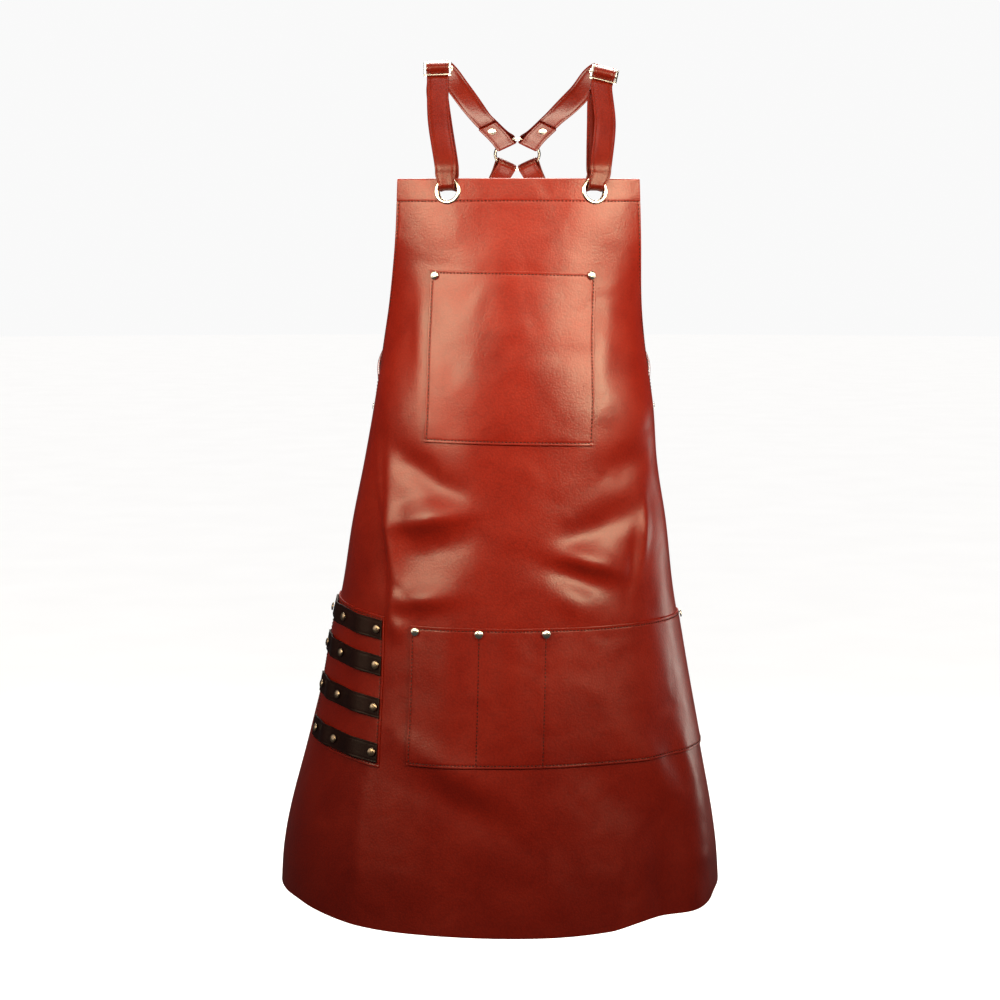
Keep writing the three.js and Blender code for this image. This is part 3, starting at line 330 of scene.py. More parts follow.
@dataclass(frozen=True)
class HideForm:
    """The curved surface of the worn hide, from which all that is sewn or riveted to it is placed."""

    length: float = 841
    bib_drop: float = 131
    bib_half_width: float = 137.5
    hem_half_width: float = 261.5
    bib_reach: float = 105
    hem_reach: float = 215
    wrap_depth: float = 185
    hem_lean: float = 21
    hide: float = 2
    fold_depth: float = 9
    step: float = 0.004
    folds: tuple[Fold, ...] = FOLDS
    nodes: tuple[np.ndarray, np.ndarray] = field(
        default_factory=lambda: np.polynomial.legendre.leggauss(14)
    )

    def section(self, at: np.ndarray) -> dict[str, np.ndarray]:
        """Give the sizes of the cross sections at shares of the length.

        Args:
            at: Shares of the length.

        Returns:
            Half width, front, sag, turn and lean, each in the shape of at.
        """
        spread = column(SECTIONS, "spread", at)
        reach = column(SECTIONS, "reach", at)
        return {
            "half": self.bib_half_width + (self.hem_half_width - self.bib_half_width) * spread,
            "front": self.bib_reach + (self.hem_reach - self.bib_reach) * reach,
            "sag": self.wrap_depth * column(SECTIONS, "sag", at),
            "turn": np.radians(column(SECTIONS, "turn", at)),
            "lean": -self.hem_lean * column(SECTIONS, "lean", at),
        }

    def speed(self, t: np.ndarray, at: np.ndarray) -> np.ndarray:
        """Give how fast the arc length grows with t.

        Args:
            t: Shares of the turn, from -1 at the left edge to 1 at the right one.
            at: Shares of the length.

        Returns:
            Millimetres of arc for a whole t.
        """
        s = self.section(at)
        widest = np.sin(np.minimum(s["turn"], math.pi / 2))
        dx = s["half"] * s["turn"] * np.cos(t * s["turn"]) / widest
        dy = s["sag"] * s["turn"] * np.sin(t * s["turn"]) / (1 - np.cos(s["turn"]))
        return np.hypot(dx, dy)

    def arc_of(self, t: np.ndarray, at: np.ndarray) -> np.ndarray:
        """Measure the arc from the centre line to t, negative to the left.

        Args:
            t: Shares of the turn, from -1 at the left edge to 1 at the right one.
            at: Shares of the length.

        Returns:
            Arc lengths from the centre line, negative to the left.
        """
        t, at = np.broadcast_arrays(np.asarray(t, float), np.asarray(at, float))
        places, weights = self.nodes
        total = np.zeros_like(t)
        for place, weight in zip(places, weights):
            total = total + weight * self.speed(t * (place + 1) / 2, at)
        return total * t / 2

    def edge_arc(self, at: np.ndarray) -> np.ndarray:
        """Measure the arc from the centre line to the hide's edge."""
        return self.arc_of(np.ones_like(np.asarray(at, float)), at)

    def turn_of(self, arc: np.ndarray, at: np.ndarray) -> np.ndarray:
        """Find t for an arc length, by Newton's method.

        Args:
            arc: Arc lengths from the centre line, negative to the left.
            at: Shares of the length.

        Returns:
            Shares of the turn, from -1 at the left edge to 1 at the right one.
        """
        arc, at = np.broadcast_arrays(np.asarray(arc, float), np.asarray(at, float))
        t = arc / self.edge_arc(at)
        for _ in range(6):
            t = t - (self.arc_of(t, at) - arc) / self.speed(t, at)
        return t

    def fold_lift(self, arc: np.ndarray, at: np.ndarray) -> np.ndarray:
        """Sum the folds' lift off the plain surface.

        Args:
            arc: Arc lengths from the centre line, negative to the left.
            at: Shares of the length.

        Returns:
            The lift in millimetres, positive outwards.
        """
        lift = np.zeros(np.broadcast(arc, at).shape)
        for fold in self.folds:
            dx = (arc - fold.across * self.hem_half_width) / self.length
            dz = at - fold.at
            c = math.cos(math.radians(fold.slant))
            s = math.sin(math.radians(fold.slant))
            along = (dz * c + dx * s) / fold.run
            over = (dx * c - dz * s) / fold.wide
            over = over * np.where(over * fold.keen > 0, 1 + abs(fold.keen), 1)
            lift += fold.lift * self.fold_depth * np.exp(-(along**2) - over**2)
        return lift

    def point(self, t: np.ndarray, at: np.ndarray) -> np.ndarray:
        """Give points of the outer face at t and shares of the length.

        Args:
            t: Shares of the turn, from -1 at the left edge to 1 at the right one.
            at: Shares of the length.

        Returns:
            The points, with x, y and z along the last axis.
        """
        t, at = np.broadcast_arrays(np.asarray(t, float), np.asarray(at, float))
        s = self.section(at)
        angle = t * s["turn"]
        widest = np.sin(np.minimum(s["turn"], math.pi / 2))
        x = s["lean"] + s["half"] * np.sin(angle) / widest
        y = -s["front"] + s["sag"] * (1 - np.cos(angle)) / (1 - np.cos(s["turn"]))
        dx = s["half"] * np.cos(angle) / widest
        dy = s["sag"] * np.sin(angle) / (1 - np.cos(s["turn"]))
        run = np.hypot(dx, dy)
        lift = self.fold_lift(self.arc_of(t, at), at)
        return np.stack(
            (x + dy / run * lift, y - dx / run * lift, -self.bib_drop - at * self.length), axis=-1
        )

    def normal(self, t: np.ndarray, at: np.ndarray) -> np.ndarray:
        """Give the outward normals at t and shares of the length.

        Args:
            t: Shares of the turn, from -1 at the left edge to 1 at the right one.
            at: Shares of the length.

        Returns:
            Vectors of length one.
        """
        across = self.point(t + self.step, at) - self.point(t - self.step, at)
        above = np.maximum(np.asarray(at, float) - self.step, 0)
        down = self.point(t, at + self.step) - self.point(t, above)
        return unit(np.cross(down, across))

    def seat(self, arc: np.ndarray, drop: np.ndarray) -> tuple[np.ndarray, np.ndarray]:
        """Find the place at an arc from the centre line and a drop below the bib's top.

        Args:
            arc: Arc lengths, negative to the left.
            drop: Drops below the bib's top.

        Returns:
            The points of the outer face and their outward normals.
        """
        at = np.asarray(drop, float) / self.length
        t = self.turn_of(arc, at)
        return self.point(t, at), self.normal(t, at)


FORM = HideForm()


def srgb(code: str) -> tuple[float, float, float, float]:
    """Turn an sRGB hex colour to a linear one with full alpha.

    Args:
        code: The colour, such as #7f1a0b.

    Returns:
        Red, green, blue and alpha, from 0 to 1.
    """
    parts = [int(code[i : i + 2], 16) / 255 for i in (1, 3, 5)]
    linear = [c / 12.92 if c <= 0.04045 else ((c + 0.055) / 1.055) ** 2.4 for c in parts]
    return (*linear, 1.0)


def add_node(
    tree: bpy.types.NodeTree,
    kind: str,
    inputs: dict[str | int, object] | None = None,
    links: dict[str | int, bpy.types.NodeSocket] | None = None,
    **settings: object,
) -> bpy.types.Node:
    """Add a shader node.

    Args:
        tree: The node tree.
        kind: The node's type.
        inputs: Values of its input sockets.
        links: Output sockets that lead into its input sockets.
        settings: Its own attributes.

    Returns:
        The node.
    """
    node = tree.nodes.new(kind)
    for name, value in settings.items():
        setattr(node, name, value)
    for name, value in (inputs or {}).items():
        node.inputs[name].default_value = value
    for name, socket in (links or {}).items():
        tree.links.new(socket, node.inputs[name])
    return node


def add_ramp(
    tree: bpy.types.NodeTree, factor: bpy.types.NodeSocket, stops: Sequence[tuple[float, str]]
) -> bpy.types.NodeSocket:
    """Lead a factor through a colour ramp whose stops are places and hex colours.

    Args:
        tree: The node tree.
        factor: The socket of the factor.
        stops: Places from 0 to 1, each with a colour.

    Returns:
        The socket of the ramp's colour.
    """
    ramp = add_node(tree, "ShaderNodeValToRGB", links={"Fac": factor})
    elements = ramp.color_ramp.elements
    while len(elements) < len(stops):
        elements.new(0.5)
    for element, (place, code) in zip(elements, stops):
        element.position = place
        element.color = srgb(code)
    return ramp.outputs["Color"]


def new_material(
    name: str,
) -> tuple[bpy.types.Material, bpy.types.NodeTree, bpy.types.Node, bpy.types.NodeSocket]:
    """Make a material that holds a principled shader, its output and object coordinates.

    Args:
        name: Its name.

    Returns:
        The material, its node tree, the shader and the socket of the coordinates.
    """
    material = bpy.data.materials.new(name)
    material.use_nodes = True
    tree = material.node_tree
    tree.nodes.clear()
    shader = add_node(tree, "ShaderNodeBsdfPrincipled")
    add_node(tree, "ShaderNodeOutputMaterial", links={"Surface": shader.outputs["BSDF"]})
    place = add_node(tree, "ShaderNodeTexCoord").outputs["Object"]
    return material, tree, shader, place


@dataclass(frozen=True)
class LeatherFinish:
    """Smooth full-grain leather with a wax finish.

    Its grain is small rounded cells, the wax gives it a soft gloss, the dye lies a little unevenly,
    and the slack hide dips in broad shallow waves. The real grain is about 0.7 mm and is drawn
    coarser, so that it shows. Widths and depths are in millimetres. mottles is how many specks lie
    across a cell of the grain, and speck_depth is their share of its relief.
    """

    name: str
    colours: tuple[str, str, str]
    roughness: tuple[float, float] = (0.33, 0.41)
    shine: float = 0.44
    wax: float = 0.05
    wax_roughness: float = 0.32
    cloud: float = 55
    grain: float = 2.3
    grain_strength: float = 0.5
    grain_depth: float = 0.2
    pore_colour: str = "#c9bdb8"
    pore_share: float = 0.55
    mottles: float = 2.2
    speck_depth: float = 0.45
    slack: float = 42
    slack_depth: float = 2.0

    def build(self) -> bpy.types.Material:
        """Build the material.

        Returns:
            The material.
        """
        material, tree, shader, place = new_material(self.name)
        at = {"Vector": place}
        cloud = add_node(
            tree,
            "ShaderNodeTexNoise",
            {"Scale": 1 / (self.cloud * MM), "Detail": 4.0, "Roughness": 0.55, "Distortion": 0.6},
            at,
        ).outputs["Fac"]
        dark, mid, light = self.colours
        dye = add_ramp(tree, cloud, ((0.3, dark), (0.52, mid), (0.75, light)))
        grain = add_node(
            tree,
            "ShaderNodeTexVoronoi",
            {"Scale": 1 / (self.grain * MM), "Smoothness": 0.5, "Randomness": 1.0},
            at,
            feature="SMOOTH_F1",
        ).outputs["Distance"]
        pores = add_ramp(tree, grain, ((0.15, "#ffffff"), (0.8, self.pore_colour)))
        tint = add_node(
            tree,
            "ShaderNodeMix",
            {"Factor": self.pore_share},
            {6: dye, 7: pores},
            data_type="RGBA",
            blend_type="MULTIPLY",
        )
        low, high = self.roughness
        gloss = add_node(
            tree,
            "ShaderNodeMapRange",
            {"From Min": 0.3, "From Max": 0.7, "To Min": low, "To Max": high},
            {"Value": cloud},
        )
        mottle = add_node(
            tree, "ShaderNodeTexNoise", {"Scale": self.mottles / (self.grain * MM), "Detail": 2.0}, at
        )
        specks = add_node(
            tree,
            "ShaderNodeMath",
            {1: self.speck_depth},
            {0: mottle.outputs["Fac"]},
            operation="MULTIPLY",
        )
        height = add_node(
            tree, "ShaderNodeMath", links={0: specks.outputs[0], 1: grain}, operation="SUBTRACT"
        )
        slack = add_node(
            tree,
            "ShaderNodeTexNoise",
            {"Scale": 1 / (self.slack * MM), "Detail": 1.0, "Roughness": 0.35, "Distortion": 0.3},
            at,
        )
        waves = add_node(
            tree,
            "ShaderNodeBump",
            {"Distance": self.slack_depth * MM},
            {"Height": slack.outputs["Fac"]},
        )
        bump = add_node(
            tree,
            "ShaderNodeBump",
            {"Strength": self.grain_strength, "Distance": self.grain_depth * MM},
            {"Height": height.outputs[0], "Normal": waves.outputs["Normal"]},
        )
        tree.links.new(tint.outputs[2], shader.inputs["Base Color"])
        tree.links.new(gloss.outputs["Result"], shader.inputs["Roughness"])
        tree.links.new(bump.outputs["Normal"], shader.inputs["Normal"])
        shader.inputs["Specular IOR Level"].default_value = self.shine
        shader.inputs["Coat Weight"].default_value = self.wax
        shader.inputs["Coat Roughness"].default_value = self.wax_roughness
        return material


@dataclass(frozen=True)
class EdgeFinish:
    """Cut or split leather: dyed fibres, burnished on an edge and matt on the flesh side.

    The fibres show as fine streaks of two tones. They are drawn fibre millimetres wide, coarser
    than real ones, so that they show.
    """

    name: str
    dark: str
    light: str
    fibre: float = 0.9
    roughness: float = 0.5
    relief: float = 0.1

    def build(self) -> bpy.types.Material:
        """Build the material.

        Returns:
            The material.
        """
        material, tree, shader, place = new_material(self.name)
        fibre = add_node(
            tree,
            "ShaderNodeTexNoise",
            {"Scale": 1 / (self.fibre * MM), "Detail": 3.0, "Roughness": 0.6},
            {"Vector": place},
        )
        colour = add_ramp(tree, fibre.outputs["Fac"], ((0.3, self.dark), (0.7, self.light)))
        tree.links.new(colour, shader.inputs["Base Color"])
        bump = add_node(
            tree,
            "ShaderNodeBump",
            {"Strength": 0.4, "Distance": self.relief * MM},
            {"Height": fibre.outputs["Fac"]},
        )
        tree.links.new(bump.outputs["Normal"], shader.inputs["Normal"])
        shader.inputs["Roughness"].default_value = self.roughness
        return material


@dataclass(frozen=True)
class MetalFinish:
    """Plated metal, polished by a mop: it mirrors the room, with faint duller patches of wear.

    patch is the patches' width in millimetres.
    """

    name: str
    bright: str
    dull: str
    roughness: tuple[float, float]
    patch: float = 3.5

    def build(self) -> bpy.types.Material:
        """Build the material.

        Returns:
            The material.
        """
        material, tree, shader, place = new_material(self.name)
        patch = add_node(
            tree,
            "ShaderNodeTexNoise",
            {"Scale": 1 / (self.patch * MM), "Detail": 5.0, "Roughness": 0.65},
            {"Vector": place},
        )
        colour = add_ramp(tree, patch.outputs["Fac"], ((0.35, self.dull), (0.6, self.bright)))
        tree.links.new(colour, shader.inputs["Base Color"])
        low, high = self.roughness
        gloss = add_node(
            tree,
            "ShaderNodeMapRange",
            {"From Min": 0.3, "From Max": 0.75, "To Min": high, "To Max": low},
            {"Value": patch.outputs["Fac"]},
        )
        tree.links.new(gloss.outputs["Result"], shader.inputs["Roughness"])
        shader.inputs["Metallic"].default_value = 1.0
        return material


@dataclass(frozen=True)
class ThreadFinish:
    """Waxed twisted thread: dark and nearly matt. The slanting ridges of its twist are painted light
    and shade, lighter and darker bands with no relief.

    twist is the ridges' spacing in millimetres.
    """

    name: str
    dark: str
    light: str
    twist: float = 0.5
    roughness: float = 0.62

    def build(self) -> bpy.types.Material:
        """Build the material.

        Returns:
            The material.
        """
        material, tree, shader, place = new_material(self.name)
        ply = add_node(
            tree,
            "ShaderNodeTexWave",
            {"Scale": 1 / (self.twist * MM) / math.tau, "Distortion": 1.5},
            {"Vector": place},
            bands_direction="DIAGONAL",
        )
        # Painted light and shade: the bands draw the twist's ridges lighter and its grooves darker
        colour = add_ramp(tree, ply.outputs["Fac"], ((0.2, self.dark), (0.8, self.light)))
        tree.links.new(colour, shader.inputs["Base Color"])
        shader.inputs["Roughness"].default_value = self.roughness
        return material


@dataclass
class Finishes:
    """The apron's materials, each built once."""

    # Russet full-grain cowhide, tanned, dyed through and waxed: deep red with a soft gloss
    hide: bpy.types.Material = field(
        default_factory=LeatherFinish("waxed_hide", ("#861809", "#8f1b0a", "#971f0c")).build
    )
    # Firmer strap leather of the same dye, rolled smooth, with a tighter shine. Its tone, darker than
    # the hide's, is painted shade for the lower light that the straps get
    strap: bpy.types.Material = field(
        default_factory=LeatherFinish(
            "waxed_strap", ("#641206", "#6e1607", "#7a1b09"), (0.3, 0.38), 0.28, slack_depth=0.5
        ).build
    )
    # Bridle leather, curried with tallow: nearly black brown with a dull sheen
    loop: bpy.types.Material = field(
        default_factory=LeatherFinish(
            "bridle_leather", ("#1c0a0a", "#240d0c", "#2d110f"), (0.45, 0.55), 0.22, slack_depth=0.5
        ).build
    )
    # The split side of the hide: pale, fibrous and matt
    flesh: bpy.types.Material = field(
        default_factory=EdgeFinish("flesh_side", "#732919", "#8d3d29", 1.3, 0.85).build
    )
    # Straps' and hide's cut edges, dyed and rubbed: a dark line round each piece
    edge: bpy.types.Material = field(
        default_factory=EdgeFinish("burnished_edge", "#4d0f08", "#6b1a0f").build
    )
    # Pockets' cut edges, coloured pale: a thin pale line that sets them off the hide, painted highlight
    # for the light that the edges catch
    pocket_edge: bpy.types.Material = field(
        default_factory=EdgeFinish("waxed_edge", "#a5492f", "#cf7e60").build
    )
    # Loops' cut edges, coloured a light grey-brown as painted highlight: they catch the light against
    # the dark faces
    loop_edge: bpy.types.Material = field(
        default_factory=EdgeFinish("loop_edge", "#2b2326", "#54474d").build
    )
    # Bright nickel on brass: warm, almost white, and clear as a mirror
    nickel: bpy.types.Material = field(
        default_factory=MetalFinish("nickel_plate", "#f2ecdf", "#e4dac9", (0.14, 0.24)).build
    )
    # Antique brass, blackened and polished back on the domes: brown-gold with soft highlights
    brass: bpy.types.Material = field(
        default_factory=MetalFinish("antique_brass", "#b9a287", "#786150", (0.22, 0.38)).build
    )
    # Dark thread of the hide and pockets: a fine broken line beside each edge
    thread: bpy.types.Material = field(
        default_factory=ThreadFinish("waxed_thread", "#2b0604", "#450d08").build
    )
    # Thread of the straps, near the leather's own red, so that it shows only close to
    strap_thread: bpy.types.Material = field(
        default_factory=ThreadFinish("strap_thread", "#4a0f07", "#6a1a0d").build
    )


def deselect() -> None:
    """Leave edit mode and deselect every object."""
    if bpy.context.object and bpy.context.object.mode != "OBJECT":
        bpy.ops.object.mode_set(mode="OBJECT")
    bpy.ops.object.select_all(action="DESELECT")


def activate(piece: bpy.types.Object) -> None:
    """Select only this object and make it the active one.

    Args:
        piece: The object.
    """
    deselect()
    piece.select_set(True)
    bpy.context.view_layer.objects.active = piece


def apply_modifiers(piece: bpy.types.Object) -> None:
    """Apply every modifier of a piece, in order.

    Args:
        piece: The piece.
    """
    activate(piece)
    for modifier in list(piece.modifiers):
        bpy.ops.object.modifier_apply(modifier=modifier.name)


def edit_faces(piece: bpy.types.Object, chosen: Sequence[bool]) -> None:
    """Go into edit mode with only the chosen faces of a piece selected.

    Args:
        piece: The piece.
        chosen: Whether each face is chosen, in the mesh's order.
    """
    activate(piece)
    bpy.context.tool_settings.mesh_select_mode = (False, False, True)
    for element in (*piece.data.vertices, *piece.data.edges):
        element.select = False
    for face, wanted in zip(piece.data.polygons, chosen):
        face.select = wanted
    bpy.ops.object.mode_set(mode="EDIT")


def settle(piece: bpy.types.Object) -> None:
    """Move a piece's place into its mesh, so that its object sits at the origin."""
    activate(piece)
    bpy.ops.object.transform_apply(location=True, rotation=True, scale=True)


def finish_piece(
    piece: bpy.types.Object,
    materials: Sequence[bpy.types.Material],
    replaces: Sequence[str] = (),
    smooth: float = 40,
) -> None:
    """Shade a piece, give it its materials and tie it to the frame.

    Args:
        piece: The piece.
        materials: Its materials, in the order of its faces' material numbers.
        replaces: The CAD nodes that it stands for.
        smooth: The angle up to which it is shaded smooth, in degrees.
    """
    activate(piece)
    bpy.ops.object.shade_smooth_by_angle(angle=math.radians(smooth))
    piece.data.materials.clear()
    for material in materials:
        piece.data.materials.append(material)
    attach(piece, BODY)
    if replaces:
        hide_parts(*replaces)


def mesh_object(
    name: str, points: np.ndarray, faces: Sequence[Sequence[int]], rims: Sequence[int] = ()
) -> bpy.types.Object:
    """Make an object from points in millimetres.

    Args:
        name: Its name.
        points: The points, one row each.
        faces: The faces' point numbers.
        rims: The material number of each face, or nothing for all 0.

    Returns:
        The new object, at the origin.
    """
    mesh = bpy.data.meshes.new(name)
    mesh.from_pydata((np.asarray(points) * MM).tolist(), [], [list(map(int, f)) for f in faces])
    if len(rims):
        mesh.polygons.foreach_set("material_index", np.asarray(rims, dtype=np.int32))
    mesh.update()
    piece = bpy.data.objects.new(name, mesh)
    bpy.context.scene.collection.objects.link(piece)
    return piece


def shell(name: str, outer: np.ndarray, inner: np.ndarray) -> bpy.types.Object:
    """Close a sheet from two grids of points of the same shape.

    Its grain side, flesh side and cut edges get material numbers of their own.

    Args:
        name: The object's name.
        outer: The grain side, rows by columns by 3, in millimetres.
        inner: The flesh side.

    Returns:
        The sheet's object.
    """
    rows, columns = outer.shape[:2]
    number = np.arange(rows * columns).reshape(rows, columns)
    back = number + rows * columns
    face = np.stack((number[:-1, :-1], number[1:, :-1], number[1:, 1:], number[:-1, 1:]), -1)
    rear = np.stack((back[:-1, :-1], back[:-1, 1:], back[1:, 1:], back[1:, :-1]), -1)
    left = np.stack((number[:-1, 0], back[:-1, 0], back[1:, 0], number[1:, 0]), -1)
    right = np.stack((number[:-1, -1], number[1:, -1], back[1:, -1], back[:-1, -1]), -1)
    top = np.stack((number[0, :-1], number[0, 1:], back[0, 1:], back[0, :-1]), -1)
    foot = np.stack((number[-1, :-1], back[-1, :-1], back[-1, 1:], number[-1, 1:]), -1)
    groups = [face.reshape(-1, 4), rear.reshape(-1, 4), left, right, top, foot]
    kinds = [GRAIN_SIDE, FLESH_SIDE, *[CUT_EDGE] * 4]
    faces = np.concatenate(groups)
    rims = np.concatenate([np.full(len(g), kind) for g, kind in zip(groups, kinds)])
    points = np.concatenate((outer.reshape(-1, 3), inner.reshape(-1, 3)))
    return mesh_object(name, points, faces, rims)


def bevel(
    piece: bpy.types.Object, width: float, segments: int, angle: float = 30, rim: int = -1
) -> None:
    """Round a piece's sharp edges with an applied bevel.

    Args:
        piece: The piece.
        width: The bevel's width in millimetres.
        segments: How many faces it has across.
        angle: The angle in degrees from which an edge is sharp.
        rim: The material number of its faces, or -1 for their neighbours' own.
    """
    rounding = piece.modifiers.new("round", "BEVEL")
    rounding.width = width * MM
    rounding.segments = segments
    rounding.limit_method = "ANGLE"
    rounding.angle_limit = math.radians(angle)
    rounding.material = rim
    apply_modifiers(piece)


def face_outwards(piece: bpy.types.Object) -> None:
    """Turn all faces of a closed piece outwards.

    Args:
        piece: The piece.
    """
    activate(piece)
    bpy.ops.object.mode_set(mode="EDIT")
    bpy.ops.mesh.select_all(action="SELECT")
    bpy.ops.mesh.normals_make_consistent(inside=False)
    bpy.ops.object.mode_set(mode="OBJECT")


def stand(piece: bpy.types.Object, point: np.ndarray, normal: np.ndarray) -> None:
    """Stand a piece that was modelled round the Z axis on a place of the leather.

    Args:
        piece: The piece.
        point: The place in millimetres.
        normal: The leather's outward normal there.
    """
    turn = Vector(normal.tolist()).to_track_quat("Z", "Y").to_matrix().to_4x4()
    piece.data.transform(Matrix.Translation((point * MM).tolist()) @ turn)


@dataclass(frozen=True)
class Run:
    """A seam's line: points on the leather and the leather's normals there."""

    points: np.ndarray
    normals: np.ndarray


@dataclass(frozen=True)
class StitchRing:
    """A ring of one stitch: shares of its length and of the thread's radius."""

    along: float
    rise: float
    thick: float


STITCH_RINGS = (
    StitchRing(-0.5, -0.9, 0.35),
    StitchRing(-0.32, 0.1, 0.95),
    StitchRing(0.32, 0.1, 0.95),
    StitchRing(0.5, -0.9, 0.35),
)


@dataclass(frozen=True)
class Stitching:
    """Lock stitches: short lengths of waxed thread that dip into the leather at both ends."""

    pitch: float = 4.1
    length: float = 2.7
    thread: float = 1.1
    proud: float = 0.02
    corners: int = 4

    def build(self, name: str, runs: Sequence[Run]) -> bpy.types.Object:
        """Build all stitches of some seams as one object.

        Args:
            name: The object's name.
            runs: The seams' lines.

        Returns:
            The stitches' object.
        """
        points, faces = [], []
        radius = self.thread / 2
        count = self.corners
        corners = [(math.cos(a), math.sin(a)) for a in (math.tau / count * k for k in range(count))]
        for run in runs:
            centre, along, up = self.spread(run)
            side = np.cross(along, up)
            first = sum(len(p) for p in points)
            stack = []
            for ring in STITCH_RINGS:
                lift = self.proud + ring.rise * radius
                middle = centre + along * ring.along * self.length + up * lift
                for c, s in corners:
                    stack.append(middle + (side * c + up * s) * radius * ring.thick)
            points.append(np.stack(stack, axis=1).reshape(-1, 3))
            base = first + len(stack) * np.arange(len(centre))[:, None]
            for start in range(0, len(stack) - count, count):
                for k in range(count):
                    a, b = start + k, start + (k + 1) % count
                    faces.append(base + np.array([[a, b, b + count, a + count]]))
            faces.append(base + np.arange(count)[::-1])
            faces.append(base + np.arange(len(stack) - count, len(stack)))
        piece = mesh_object(name, np.concatenate(points), np.concatenate(faces))
        face_outwards(piece)
        return piece

    def spread(self, run: Run) -> tuple[np.ndarray, np.ndarray, np.ndarray]:
        """Space the stitches along a seam: their middles, directions and normals.

        Args:
            run: The seam's line.

        Returns:
            The stitches' middles, directions and normals, one row each.
        """
        steps = np.linalg.norm(np.diff(run.points, axis=0), axis=1)
        lengths = np.concatenate(([0], np.cumsum(steps)))
        count = max(1, round(lengths[-1] / self.pitch))
        places = (np.arange(count) + 0.5) * lengths[-1] / count

        def at(values: np.ndarray, where: np.ndarray) -> np.ndarray:
            """Read values along the seam."""
            return np.stack([np.interp(where, lengths, values[:, k]) for k in range(3)], axis=1)

        half = self.length / 2
        along = unit(at(run.points, places + half) - at(run.points, places - half))
        up = unit(at(run.normals, places))
        return at(run.points, places), along, unit(up - along * np.sum(up * along, axis=1)[:, None])


def groove(distance: np.ndarray, depth: float = 0.32, width: float = 1.0) -> np.ndarray:
    """Give how deep the thread has drawn the leather in at a distance from a seam."""
    return depth * np.exp(-((distance / width) ** 2))


